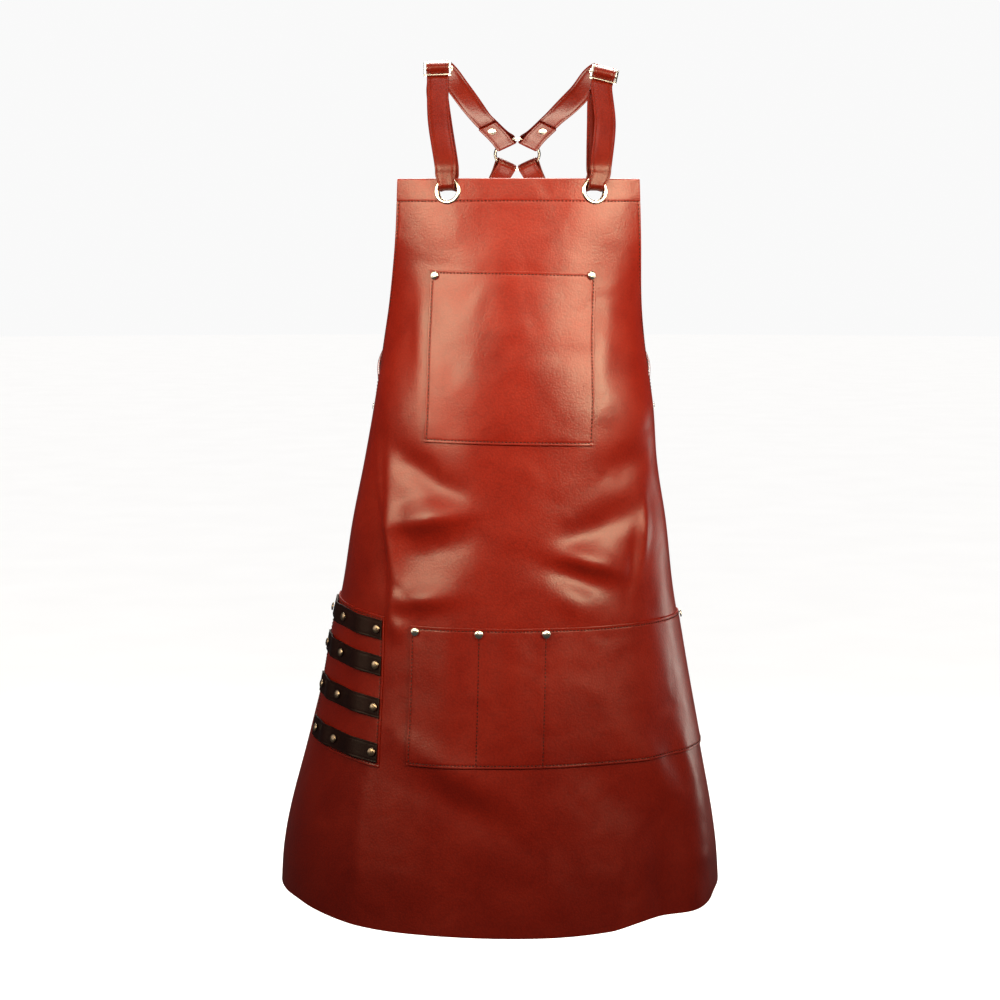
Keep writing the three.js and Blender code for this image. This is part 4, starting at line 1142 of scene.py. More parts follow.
@dataclass
class Hide:
    """The hide itself: bib and skirt in one, with its top hem folded back and sewn down."""

    form: HideForm = FORM
    pitch: float = 4.4
    top_hem: float = 28
    hem_gap: float = 0.5
    seam: float = 25.6
    side_seam: float = 2.6
    side_band: float = 9.0
    hem_corner: float = 16
    hem_rise: float = 16
    flap_rows: int = 9
    fold_rows: int = 9
    hole_radius: float = 11.5
    node: str = "apron_hide"

    def rise(self, arc: np.ndarray) -> np.ndarray:
        """Give how far the hem lies above the apron's full length.

        Args:
            arc: Arc lengths from the centre line, negative to the left.

        Returns:
            The rise in millimetres.
        """
        edge = float(self.form.edge_arc(1.0))
        inside = np.clip(self.hem_corner - edge + np.abs(arc), 0, self.hem_corner)
        corner = self.hem_corner - np.sqrt(self.hem_corner**2 - inside**2)
        return corner + self.hem_rise * column(HEM_LINE, "rise", arc / edge)

    def turns(self, at: np.ndarray) -> np.ndarray:
        """Give each row's t values, with grid lines close together along the side seams.

        Args:
            at: The rows' shares of the length.

        Returns:
            The t values, rows by columns.
        """
        edge = self.form.edge_arc(at)[:, None]
        near = np.array([0, 0.9, 1.7, self.side_seam, 3.5, 4.4, 6.0])
        count = round(2 * float(self.form.edge_arc(1.0)) / self.pitch)
        middle = np.linspace(-1, 1, count + 1)[1:-1]
        inner = edge - self.side_band
        arcs = np.concatenate((near - edge, middle * inner, edge - near[::-1]), axis=1)
        return self.form.turn_of(arcs, at[:, None])

    def grids(self) -> tuple[np.ndarray, np.ndarray]:
        """Lay out the grain and flesh sides, from the flap's end over the top down to the hem.

        Returns:
            The points of the grain side and of the flesh side, rows by columns by 3.
        """
        form = self.form
        bend = form.hide + self.hem_gap / 2
        stack = 2 * form.hide + self.hem_gap
        top = bend / form.length
        outer, inner = [], []
        flap_at = np.linspace(self.top_hem, bend, self.flap_rows) / form.length
        t = self.turns(flap_at)
        point = form.point(t, flap_at[:, None])
        normal = form.normal(t, flap_at[:, None])
        outer.append(point - normal * stack)
        inner.append(point - normal * (form.hide + self.hem_gap))
        t = self.turns(np.array([top]))
        point = form.point(t, top)
        normal = form.normal(t, top)
        up = np.array([0.0, 0.0, 1.0])
        for row in range(1, self.fold_rows):
            angle = math.pi * (1 - row / self.fold_rows)
            spoke = normal * math.cos(angle) + up * math.sin(angle)
            centre = point - normal * bend
            outer.append(centre + spoke * bend)
            inner.append(centre + spoke * self.hem_gap / 2)
        drops = graded(form.length, [self.seam - bend], self.pitch)
        down = drops / form.length
        flat = top + (1 - top) * down
        t = self.turns(flat)
        arc = form.arc_of(t, np.ones_like(t))
        at = flat[:, None] - self.rise(arc) / form.length * down[:, None] ** 3
        point = form.point(t, at)
        normal = form.normal(t, at)
        local = form.arc_of(t, at)
        edge = form.arc_of(np.ones_like(t), at)
        sunk = groove(drops[:, None] - (self.seam - bend), 0.4) * np.ones_like(t)
        below = 1 / (1 + np.exp(-(at * form.length - self.seam) * 2))
        sunk += groove(np.abs(edge - np.abs(local)) - self.side_seam, 0.28, 0.9) * below
        outer.append(point - normal * sunk[..., None])
        inner.append(point - normal * form.hide)
        return np.concatenate(outer), np.concatenate(inner)

    def build(self, finishes: Finishes, holes: Sequence[tuple[np.ndarray, np.ndarray]]) -> None:
        """Build the hide and its stitches.

        Args:
            finishes: The materials.
            holes: The points and normals of the two grommet holes.
        """
        piece = shell("apron_hide_sheet", *self.grids())
        bevel(piece, 0.5, 2, 60, CUT_EDGE)
        for point, normal in holes:
            self.punch(piece, point, normal)
        finish_piece(
            piece, (finishes.hide, finishes.flesh, finishes.edge), [self.node], 45
        )
        form = self.form
        width = 2 * float(form.edge_arc(1.0))
        long = form.length + self.top_hem
        halves = form.edge_arc(np.linspace(0, 1, 60))
        area = (2 * float(np.mean(halves)) * form.length + 2 * float(halves[0]) * self.top_hem)
        stitches = Stitching().build("apron_hide_stitches", self.seams())
        finish_piece(stitches, (finishes.thread,))

    def punch(self, piece: bpy.types.Object, point: np.ndarray, normal: np.ndarray) -> None:
        """Cut a grommet's hole through both layers of the hem.

        Args:
            piece: The hide.
            point: The hole's middle on the grain side.
            normal: The hide's outward normal there.
        """
        deselect()
        turn = Vector(normal.tolist()).to_track_quat("Z", "Y")
        bpy.ops.mesh.primitive_cylinder_add(
            vertices=48,
            radius=self.hole_radius * MM,
            depth=40 * MM,
            location=Vector((point * MM).tolist()),
            rotation=turn.to_euler(),
        )
        rod = bpy.context.object
        cut = piece.modifiers.new("hole", "BOOLEAN")
        cut.operation = "DIFFERENCE"
        cut.solver = "EXACT"
        cut.object = rod
        apply_modifiers(piece)
        bpy.data.objects.remove(rod)

    def seams(self) -> list[Run]:
        """Give the lines of the hem's seam and of both side seams.

        Returns:
            The seams' lines, the hem's first.
        """
        form = self.form
        edge = float(form.edge_arc(self.seam / form.length))
        arcs = np.linspace(-edge + 1.5, edge - 1.5, 90)
        runs = [Run(*form.seat(arcs, np.full_like(arcs, self.seam)))]
        drops = np.linspace(self.seam + 2, form.length - self.hem_corner - 26, 260)
        arcs = form.edge_arc(drops / form.length) - self.side_seam
        runs.append(Run(*form.seat(arcs, drops)))
        runs.append(Run(*form.seat(-arcs, drops)))
        return runs


@dataclass(frozen=True)
class Patch:
    """A leather patch sewn on the hide, measured round the hide from its centre line.

    A width of None lets the patch end at edge_inset inside the hide's edge. splits are seams
    between its left and right edge, and dip is how much lower its right end sits.
    """

    node: str
    drop: float
    height: float
    start: float
    width: float | None
    dip: float = 0
    edge_inset: float = 10
    splits: tuple[float, ...] = ()
    thick: float = 1.8
    gape: float = 2.6
    base: float = 0.2
    seam: float = 3.2
    top_sewn: bool = True
    pitch: float = 3.0
    flat_end: float = 0.1
    form: HideForm = FORM

    def span(self, drop: np.ndarray) -> tuple[np.ndarray, np.ndarray]:
        """Give the arcs of the left and right edge at a drop.

        Args:
            drop: Drops below the bib's top.

        Returns:
            The left and the right arcs.
        """
        drop = np.asarray(drop, float)
        start = np.full_like(drop, self.start)
        if self.width is not None:
            return start, start + self.width
        return start, self.form.edge_arc(drop / self.form.length) - self.edge_inset

    def lift(self, arc: np.ndarray, end: np.ndarray, down: np.ndarray) -> np.ndarray:
        """Give how far the patch gapes off the hide between its seams.

        Args:
            arc: Arc lengths from the centre line, negative to the left.
            end: The right edge's arcs.
            down: Shares of the way down the patch.

        Returns:
            The gap in millimetres.
        """
        inner = [np.full_like(end, split) for split in self.splits]
        seams = np.stack([np.full_like(end, self.start), *inner, end])
        share = np.zeros_like(arc)
        for left, right in zip(seams[:-1], seams[1:]):
            inside = (arc >= left) & (arc <= right)
            share = np.where(inside, (arc - left) / (right - left), share)
        share = np.clip((share - self.flat_end) / (1 - 2 * self.flat_end), 0, 1)
        return self.gape * np.sin(np.pi * share) ** 2 * (1 - down**2)

    def face(self, along: np.ndarray, down: np.ndarray, height: float) -> tuple[np.ndarray, np.ndarray]:
        """Give points and normals at shares of the width and height, at a height off the hide.

        Args:
            along: Shares of the width.
            down: Shares of the height.
            height: The height off the hide.

        Returns:
            The points and their normals.
        """
        level = self.drop + self.height * down
        start, end = self.span(level)
        arc = start + (end - start) * along
        point, normal = self.form.seat(arc, level + self.dip * along)
        off = self.base + height + self.lift(arc, end, down)
        return point + normal * off[..., None], normal

    def grids(self) -> tuple[np.ndarray, np.ndarray]:
        """Lay out the grain and flesh sides, with the seams' grooves.

        Returns:
            The points of the grain side and of the flesh side, rows by columns by 3.
        """
        widest = float(np.subtract(*self.span(np.array(self.drop + self.height))[::-1]))
        marks_across = [self.seam, widest - self.seam]
        marks_across += [split - self.start for split in self.splits]
        across = graded(widest, marks_across, self.pitch) / widest
        marks_down = [self.height - self.seam] + ([self.seam] if self.top_sewn else [])
        downs = graded(self.height, marks_down, self.pitch) / self.height
        along, down = np.meshgrid(across, downs)
        level = self.drop + self.height * down
        start, end = self.span(level)
        wide = end - start
        sunk = groove(along * wide - self.seam)
        sunk = np.maximum(sunk, groove((1 - along) * wide - self.seam))
        sunk = np.maximum(sunk, groove((1 - down) * self.height - self.seam))
        if self.top_sewn:
            sunk = np.maximum(sunk, groove(down * self.height - self.seam))
        for split in self.splits:
            sunk = np.maximum(sunk, groove(start + along * wide - split))
        outer, normal = self.face(along, down, self.thick)
        inner, _ = self.face(along, down, 0)
        return outer - normal * sunk[..., None], inner

    def seams(self) -> list[Run]:
        """Give the seams' lines: both sides, the foot, the splits and the top edge.

        Returns:
            The seams' lines.
        """
        inset_down = self.seam / self.height
        downs = np.linspace(inset_down, 1 - inset_down, 60)
        level = self.drop + self.height * downs
        start, end = self.span(level)
        columns = [self.seam / (end - start), 1 - self.seam / (end - start)]
        columns += [(split - start) / (end - start) for split in self.splits]
        runs = [Run(*self.face(along, downs, self.thick)) for along in columns]
        rows = [1 - inset_down] + ([inset_down] if self.top_sewn else [])
        for row in rows:
            start, end = self.span(np.array(self.drop + self.height * row))
            inset = self.seam / float(end - start)
            along = np.linspace(inset, 1 - inset, 120)
            runs.append(Run(*self.face(along, np.full_like(along, row), self.thick)))
        return runs

    def build(self, materials: Sequence[bpy.types.Material], thread: bpy.types.Material) -> None:
        """Build the patch and its stitches.

        Args:
            materials: The grain side, flesh side and edge.
            thread: The stitches' material.
        """
        piece = shell(f"{self.node}_sheet", *self.grids())
        bevel(piece, 0.45, 2, 60, CUT_EDGE)
        finish_piece(piece, materials, [self.node], 45)
        start, end = self.span(np.array(self.drop + self.height))
        self.flat_area() * MM * MM
        stitches = Stitching().build(f"{self.node}_stitches", self.seams())
        finish_piece(stitches, (thread,))

    def flat_area(self) -> float:
        """Give the patch's flat area in square millimetres."""
        start, end = self.span(self.drop + self.height * np.linspace(0, 1, 40))
        return float(np.mean(end - start)) * self.height


@dataclass
class ToolLoop:
    """A strap across the tool panel that stands off it between its rivets."""

    number: int
    drop: float
    start: float
    width: float
    dip: float
    rivets: tuple[float, ...]
    height: float = 22
    inset: float = 2
    thick: float = 2.2
    stand: float = 3
    base: float = 2.2
    crease: float = 2.4
    flat_end: float = 0.1
    form: HideForm = FORM

    def lift(self, along: np.ndarray) -> np.ndarray:
        """Give how far the loop stands off the panel at shares of its length.

        Args:
            along: Shares of its length.

        Returns:
            The gap in millimetres.
        """
        lift = np.zeros_like(along)
        for left, right in zip(self.rivets[:-1], self.rivets[1:]):
            share = (along - left) / (right - left)
            inside = (share >= 0) & (share <= 1)
            share = np.clip((share - self.flat_end) / (1 - 2 * self.flat_end), 0, 1)
            lift = np.where(inside, self.stand * np.sin(np.pi * share) ** 2, lift)
        return lift

    def build(self, finishes: Finishes) -> None:
        """Build the loop with its creased edges.

        Args:
            finishes: The materials.
        """
        long = self.width - 2 * self.inset
        across = graded(long, [self.crease, long - self.crease], 1.6) / long
        downs = graded(self.height, [self.crease, self.height - self.crease], 2.0) / self.height
        along, down = np.meshgrid(across, downs)
        arc = self.start + self.inset + long * along
        point, normal = self.form.seat(arc, self.drop + self.height * down + self.dip * along)
        off = self.base + self.lift(along)
        sunk = groove(down * self.height - self.crease, 0.25, 0.7)
        sunk = np.maximum(sunk, groove((1 - down) * self.height - self.crease, 0.25, 0.7))
        outer = point + normal * (off + self.thick - sunk)[..., None]
        inner = point + normal * off[..., None]
        piece = shell(f"tool_loop_{self.number}_leather", outer, inner)
        bevel(piece, 0.5, 2, 60, CUT_EDGE)
        materials = (finishes.loop, finishes.loop, finishes.loop_edge)
        finish_piece(piece, materials, [f"tool_loop_{self.number}"], 45)


@dataclass
class Rivet:
    """A double-cap rivet: a domed cap with a rolled lip, its shank and the back cap."""

    cap: float = 4.8
    dome: float = 2.0
    dome_share: float = 0.78
    lip_share: float = 0.22
    shank: float = 1.5
    washer: float = 0.8
    washer_share: float = 0.9
    sides: int = 28

    def model(self) -> bpy.types.Object:
        """Model the domed cap once, standing on the origin along +Z.

        Returns:
            The cap.
        """
        deselect()
        bpy.ops.mesh.primitive_uv_sphere_add(
            segments=self.sides, ring_count=20, radius=self.cap * MM
        )
        piece = bpy.context.object
        bpy.ops.object.mode_set(mode="EDIT")
        bpy.ops.mesh.select_all(action="SELECT")
        bpy.ops.mesh.bisect(plane_co=(0, 0, 0), plane_no=(0, 0, 1), clear_inner=True, use_fill=True)
        bpy.ops.mesh.select_all(action="SELECT")
        bpy.ops.transform.resize(value=(1, 1, self.dome_share * self.dome / self.cap))
        bpy.ops.object.mode_set(mode="OBJECT")
        edit_faces(piece, [face.normal.z < -0.9 for face in piece.data.polygons])
        lip = self.lip_share * self.dome * MM
        bpy.ops.mesh.extrude_region_move(TRANSFORM_OT_translate={"value": (0, 0, -lip)})
        bpy.ops.mesh.inset(thickness=(self.cap - self.shank) * MM)
        bpy.ops.mesh.select_all(action="SELECT")
        bpy.ops.transform.translate(value=(0, 0, lip))
        bpy.ops.object.mode_set(mode="OBJECT")
        bevel(piece, 0.25, 2, 50)
        return piece

    def stem(self, stack: float, scale: float) -> bpy.types.Object:
        """Model the shank and the back cap below the cap for a stack of leather.

        Args:
            stack: How thick the leather is.
            scale: The rivet's scale.

        Returns:
            The shank with the back cap.
        """
        deselect()
        radius = self.washer_share * self.cap * scale
        bpy.ops.mesh.primitive_cylinder_add(
            vertices=self.sides,
            radius=radius * MM,
            depth=self.washer * MM,
            location=(0, 0, -(stack + self.washer / 2) * MM),
        )
        piece = bpy.context.object
        edit_faces(piece, [face.normal.z > 0.9 for face in piece.data.polygons])
        bpy.ops.mesh.inset(thickness=(radius - self.shank) * MM)
        bpy.ops.mesh.extrude_region_move(TRANSFORM_OT_translate={"value": (0, 0, stack * MM)})
        bpy.ops.object.mode_set(mode="OBJECT")
        bevel(piece, 0.22, 2, 50)
        settle(piece)
        return piece


@dataclass(frozen=True)
class RivetSeat:
    """Where a rivet stands: the leather's top face, its normal, and the stack below it."""

    node: str
    point: np.ndarray
    normal: np.ndarray
    stack: float
    slot: Slot
    scale: float = 1
    rise: float = 1


def place_rivets(rivet: Rivet, seats: Sequence[RivetSeat], finishes: Finishes) -> None:
    """Copy the modelled rivet to each seat, each copy with its own mesh.

    Args:
        rivet: The rivet.
        seats: Where the copies stand.
        finishes: The materials.
    """
    pattern = rivet.model()
    for seat in seats:
        piece = rivet.stem(seat.stack, seat.scale)
        piece.name = f"{seat.node}_cap"
        piece.data.name = piece.name
        cap = pattern.copy()
        cap.data = pattern.data.copy()
        bpy.context.scene.collection.objects.link(cap)
        cap.scale = (seat.scale, seat.scale, seat.rise)
        settle(cap)
        activate(piece)
        cap.select_set(True)
        bpy.ops.object.join()
        stand(piece, seat.point, seat.normal)
        material = finishes.nickel if seat.slot is Slot.NICKEL else finishes.brass
        finish_piece(piece, (material,), [seat.node], 35)
    bpy.data.objects.remove(pattern)


@dataclass
class Hardware:
    """Sizes of the metal fittings."""

    hole: float = 10.5
    flange: float = 15
    wall: float = 0.9
    flange_thick: float = 1.2
    stand: float = 0.15
    bar_pitch: float = 9.4
    bar_wide: float = 2.6
    plate: float = 2.4
    side: float = 3
    knob_radius: float = 2.4
    knob_length: float = 2
    ring_radius: float = 26.8
    ring_wire: float = 1.8
    weld_half: float = 1.6
    weld_swell: float = 1.08
    strap_wide: float = 25
    fit_gap: float = 0.45

    def grommet(
        self, name: str, point: np.ndarray, normal: np.ndarray, stack: float
    ) -> bpy.types.Object:
        """Model a grommet: a rolled flange in front, its barrel and a flat washer behind.

        Args:
            name: The object's name.
            point: The middle of its hole on the leather's front face.
            normal: The leather's outward normal.
            stack: How thick the leather is.

        Returns:
            The grommet's object.
        """
        front = self.stand
        back = -stack - self.stand
        outline = (
            (self.hole, back - self.flange_thick),
            (self.flange - 0.5, back - self.flange_thick),
            (self.flange, back - self.flange_thick / 2),
            (self.flange - 0.2, back),
            (self.hole + self.wall, back),
            (self.hole + self.wall, front),
            (self.flange - 0.3, front),
            (self.flange, front + 0.35),
            (self.flange - 0.35, front + 1.0),
            (self.flange - 1.4, front + 1.45),
            (self.hole + 1.6, front + 1.35),
            (self.hole + 0.5, front + 0.85),
            (self.hole, front - 0.3),
        )
        deselect()
        bpy.ops.mesh.primitive_circle_add(vertices=len(outline), radius=MM)
        piece = bpy.context.object
        for vertex, (radius, height) in zip(piece.data.vertices, outline):
            vertex.co = (radius * MM, 0, height * MM)
        bpy.ops.object.mode_set(mode="EDIT")
        bpy.ops.mesh.select_all(action="SELECT")
        bpy.ops.mesh.spin(steps=64, angle=math.tau, center=(0, 0, 0), axis=(0, 0, 1))
        bpy.ops.mesh.select_all(action="SELECT")
        bpy.ops.mesh.remove_doubles(threshold=0.01 * MM)
        face_outwards(piece)
        stand(piece, point, normal)
        piece.name = name
        return piece

    def slider(self, name: str, basis: Matrix, side: Side) -> bpy.types.Object:
        """Model a three-bar slider with the knob at its inner end.

        Args:
            name: The object's name.
            basis: The slider's place, with X across the strap, Y along it and Z outwards.
            side: The side that it is on.

        Returns:
            The slider's object.
        """
        half = self.strap_wide / 2 + self.fit_gap + self.side
        bar = self.bar_wide / 2
        pitch = self.bar_pitch
        columns = (-half, -half + self.side, half - self.side, half)
        rows = (-pitch - bar, -pitch + bar, -bar, bar, pitch - bar, pitch + bar)
        deselect()
        bpy.ops.mesh.primitive_grid_add(x_subdivisions=3, y_subdivisions=5, size=MM)
        piece = bpy.context.object
        for i, vertex in enumerate(piece.data.vertices):
            row, place = divmod(i, len(columns))
            vertex.co = (columns[place] * MM, rows[row] * MM, -self.plate / 2 * MM)
        slots = []
        for face in piece.data.polygons:
            between = abs(abs(face.center.y) - pitch / 2 * MM) < bar * MM
            slots.append(between and abs(face.center.x) < (half - self.side) * MM)
        edit_faces(piece, slots)
        bpy.ops.mesh.delete(type="FACE")
        bpy.ops.mesh.select_all(action="SELECT")
        bpy.ops.mesh.extrude_region_move(TRANSFORM_OT_translate={"value": (0, 0, self.plate * MM)})
        face_outwards(piece)
        bevel(piece, 0.75, 3, 40)
        knob = self.knob(half, side)
        activate(piece)
        knob.select_set(True)
        bpy.ops.object.join()
        piece.data.transform(basis)
        piece.name = name
        return piece

    def knob(self, half: float, side: Side) -> bpy.types.Object:
        """Model the rounded knob at the slider's inner end.

        Args:
            half: Half the slider's width.
            side: The side that the slider is on.

        Returns:
            The knob.
        """
        deselect()
        bpy.ops.mesh.primitive_cylinder_add(
            vertices=24,
            radius=self.knob_radius * MM,
            depth=(self.knob_length + self.side / 2) * MM,
            location=(-side.value * (half + self.knob_length / 2 - self.side / 4) * MM, 0, 0),
            rotation=(0, math.pi / 2, 0),
        )
        knob = bpy.context.object
        settle(knob)
        bevel(knob, 0.8, 3)
        return knob

    def ring(self, name: str, basis: Matrix) -> bpy.types.Object:
        """Model the back ring with the faint bulge of its weld at the right.

        Args:
            name: The object's name.
            basis: The ring's place, with Z along its axis.

        Returns:
            The ring's object.
        """
        deselect()
        bpy.ops.mesh.primitive_torus_add(
            major_radius=self.ring_radius * MM,
            minor_radius=self.ring_wire * MM,
            major_segments=96,
            minor_segments=18,
        )
        piece = bpy.context.object
        weld = Vector((self.ring_radius * MM, 0, 0))
        for vertex in piece.data.vertices:
            off = vertex.co - weld
            if abs(vertex.co.y) < self.weld_half * MM and vertex.co.x > 0:
                vertex.co = weld + off * self.weld_swell
        piece.data.transform(basis)
        piece.name = name
        return piece


@dataclass(frozen=True)
class Key:
    """A chosen place on a strap's middle line."""

    point: np.ndarray
    wide: np.ndarray
    width: float


@dataclass(frozen=True)
class Frame:
    """A place with its own directions: across a strap, along it, and out from it."""

    origin: np.ndarray
    wide: np.ndarray
    up: np.ndarray
    out: np.ndarray

    def at(self, across: float, up: float, out: float) -> np.ndarray:
        """Give a point from its lengths along the frame's directions."""
        return self.origin + self.wide * across + self.up * up + self.out * out

    def key(self, up: float, out: float, across: float = 0, width: float = 25) -> Key:
        """Give a strap's key at a place of the frame."""
        return Key(self.at(across, up, out), self.wide, width)

    def matrix(self) -> Matrix:
        """Give the frame as a matrix in metres.

        Returns:
            A matrix whose columns are the directions and the place.
        """
        basis = np.eye(4)
        basis[:3] = np.column_stack((self.wide, self.up, self.out, self.origin * MM))
        return Matrix(basis.tolist())


SHOULDERS = (
    Shoulder(Side.LEFT, drop=4, roll=2, inset=10, crest=3.5, bow=3, shift=-2, sway=2),
    Shoulder(Side.RIGHT, drop=10.3, roll=-14, inset=12, crest=-1.5, bow=4.5, shift=1, sway=6.5),
)

SLIDER_END = (
    Way(pitch=-1, behind=1, layers=1),
    Way(pitch=-0.69, behind=1, layers=0.86),
    Way(pitch=-0.45, behind=1, layers=0.21),
    Way(round=-1.015, front=-0.27),
    Way(round=-0.75, front=0.72),
    Way(round=0, front=1.03),
    Way(round=0.75, front=0.72),
    Way(round=1.015, front=-0.27),
    Way(round=0.75, behind=1, layers=0.18),
    Way(pitch=-0.2, behind=1, layers=1.1),
    Way(pitch=-0.66, behind=1, layers=1.85),
    Way(pitch=-1.1, behind=1, layers=2),
)

SLIDER_RETURN = (
    Way(pitch=-1.64, behind=1, layers=0.04),
    Way(pitch=-0.92, behind=1, layers=-0.04),
    Way(pitch=-0.75, behind=1, layers=-0.43),
    Way(round=-0.96, front=0.1),
    Way(round=-0.7, front=0.74),
    Way(round=0, front=1.025),
    Way(round=0.7, front=0.74),
    Way(round=0.96, front=0.1),
    Way(pitch=0.75, behind=1, layers=-0.43),
    Way(pitch=0.92, behind=1, layers=-0.04),
    Way(pitch=1.53, behind=1, layers=0.04),
)

HOLE_WAY = (
    HoleWay(0, -1, 0),
    HoleWay(0.17, 0.18, 0),
    HoleWay(0.54, 0.14, 0.3),
    HoleWay(1.07, 0.23, 0.89),
    HoleWay(1.6, 0.36, 1),
)

OVER_SHOULDER = (
    OverShoulder(inset=0, inward=1, back=2, below=0, cross=0.15),
    OverShoulder(inset=1, inward=0, back=18, below=8, cross=0.4),
    OverShoulder(inset=1, inward=15, back=38, below=27, cross=1),
)

# Degrees round the ring's wire from where a strap meets it to where it leaves
RING_TURNS = (62, 90, 135, 180, 225, 270, 298)

WAIST_PATH = (
    WaistPlace(26, 0.43),
    WaistPlace(44, 0.6),
    WaistPlace(62, 0.75),
    WaistPlace(80, 0.86),
)


@dataclass
class Harness:
    """The strap layout: sliders, grommets, ring and the keys of all four straps."""

    form: HideForm = FORM
    width: float = 25
    thick: float = 2.2
    hole_rise: float = 2.9
    grommet_spacing: float = 167.5
    grommet_shift: float = 3
    grommet_drop: float = 14.3
    slider_half_spacing: float = 96
    slider_shift: float = 3
    slider_reach: float = 22
    slider_lean: float = 40
    slider_tail: float = 24
    ring_tail: float = 38
    ring_rivet: float = 28
    ring_depth: float = 110
    ring_drop: float = 95
    ring_slope: float = 51
    ring_angle: float = 35
    rivet_flat: float = 7
    ring_neck: float = 5.5
    neck_bulge: float = 0.9
    crossing: float = 41
    ring_lead: float = 10
    waist_drop: float = 258
    waist_rise: float = 28
    waist_slack: float = 0.1
    waist_bend: float = 42
    waist_inset: float = 13
    waist_end: tuple[float, ...] = (1, 0.31, -0.31, -0.85)
    torso_half: float = 163
    torso_back: float = 124
    torso_taper: float = 0.14
    waist_rest: float = 0.2
    hem_stack: float = 4.5
    hole_sides: int = 16
    flange_stand: float = 0.75
    leg_middle: float = 0.55
    bent_gap: float = 0.6
    slot_gap: float = 0.75
    metal: Hardware = field(default_factory=Hardware)

    @property
    def layer(self) -> float:
        """The pitch of straps that lie on each other."""
        return self.thick + self.bent_gap

    @property
    def behind_bar(self) -> float:
        """How far behind the slider's middle a strap's middle runs."""
        return self.metal.plate / 2 + self.slot_gap + self.thick / 2

    @property
    def bar_corner(self) -> float:
        """The radius of the strap's middle round the slider's bar."""
        bar = math.hypot(self.metal.bar_wide / 2, self.metal.plate / 2)
        return bar + self.metal.fit_gap + self.thick / 2

    @property
    def sagitta(self) -> float:
        """How far the ring's wire bends away under the strap's width."""
        radius = self.metal.ring_radius
        return radius - math.sqrt(radius**2 - (self.width / 2) ** 2)

    @property
    def wire_clear(self) -> float:
        """The radius of the strap's middle round the ring's wire."""
        return self.metal.ring_wire + self.bent_gap + self.thick / 2 + self.sagitta / 2

    def grommet_seat(self, side: Side) -> tuple[np.ndarray, np.ndarray]:
        """Find a grommet's place on the hide."""
        arc = self.grommet_shift + side.value * self.grommet_spacing / 2
        return self.form.seat(np.array(arc), np.array(self.grommet_drop))

    def slider_frame(self, shoulder: Shoulder) -> Frame:
        """Place a shoulder's slider.

        Args:
            shoulder: The shoulder.

        Returns:
            Its frame, with up along the strap.
        """
        tilt = math.radians(shoulder.roll)
        lean = math.radians(self.slider_lean)
        wide = np.array([math.cos(tilt), 0, math.sin(tilt)])
        up = unit(np.cross([0, -math.cos(lean), math.sin(lean)], wide))
        x = self.slider_shift + shoulder.side.value * self.slider_half_spacing
        origin = np.array([x, -self.slider_reach, -shoulder.drop])
        return Frame(origin, wide, up, np.cross(wide, up))

    def ring_frame(self) -> Frame:
        """Place the back ring.

        Returns:
            Its frame, with out along its axis.
        """
        slope = math.radians(self.ring_slope)
        return Frame(
            np.array([0, self.ring_depth, -self.ring_drop]),
            np.array([-1.0, 0, 0]),
            np.array([0, -math.sin(slope), math.cos(slope)]),
            np.array([0, math.cos(slope), math.sin(slope)]),
        )

    def ring_end(self, side: Side, upward: int, bend: float) -> Frame:
        """Place a strap's loop on the ring's wire.

        Args:
            side: The strap's side.
            upward: 1 for a shoulder strap and -1 for a waist strap.
            bend: How far it leaves the ring's plane inwards, in degrees.

        Returns:
            Its frame, with up along the strap away from the ring.
        """
        ring = self.ring_frame()
        angle = math.radians(self.ring_angle)
        radial = ring.wide * -side.value * math.sin(angle) + ring.up * upward * math.cos(angle)
        wide = unit(np.cross(radial, ring.out))
        turn = math.radians(bend)
        up = radial * math.cos(turn) - ring.out * math.sin(turn)
        out = unit(np.cross(wide, up))
        if wide[0] < 0:
            wide = -wide
        origin = ring.origin + radial * (self.metal.ring_radius - self.sagitta / 2)
        return Frame(origin, wide, up, out)

    def ring_loop(self, end: Frame) -> list[Key]:
        """Lead a strap in along the outer face, round the wire and out along the inner face.

        Args:
            end: The strap's end on the ring.

        Returns:
            The strap's keys.
        """
        apart = self.layer / 2
        legs = [
            (self.ring_tail, apart),
            (self.ring_rivet + self.rivet_flat, apart),
            (self.ring_rivet - self.rivet_flat, apart),
            (self.wire_clear + self.ring_neck, apart + self.neck_bulge),
        ]
        turns = [math.radians(degrees) for degrees in RING_TURNS]
        round_wire = [(self.wire_clear * math.cos(a), self.wire_clear * math.sin(a)) for a in turns]
        back = [(up, -out) for up, out in reversed(legs)]
        return [end.key(up, out) for up, out in [*legs, *round_wire, *back]]

    def slider_keys(self, slider: Frame, ways: Sequence[Way], radius: float) -> list[Key]:
        """Lead a strap through the slider.

        Args:
            slider: The slider's frame.
            ways: The places on the way.
            radius: The radius of the strap's middle round the bar.

        Returns:
            The strap's keys.
        """
        keys = []
        for way in ways:
            up = self.metal.bar_pitch * way.pitch + radius * way.round
            out = radius * way.front - self.behind_bar * way.behind - self.layer * way.layers
            keys.append(slider.key(up, out))
        return keys

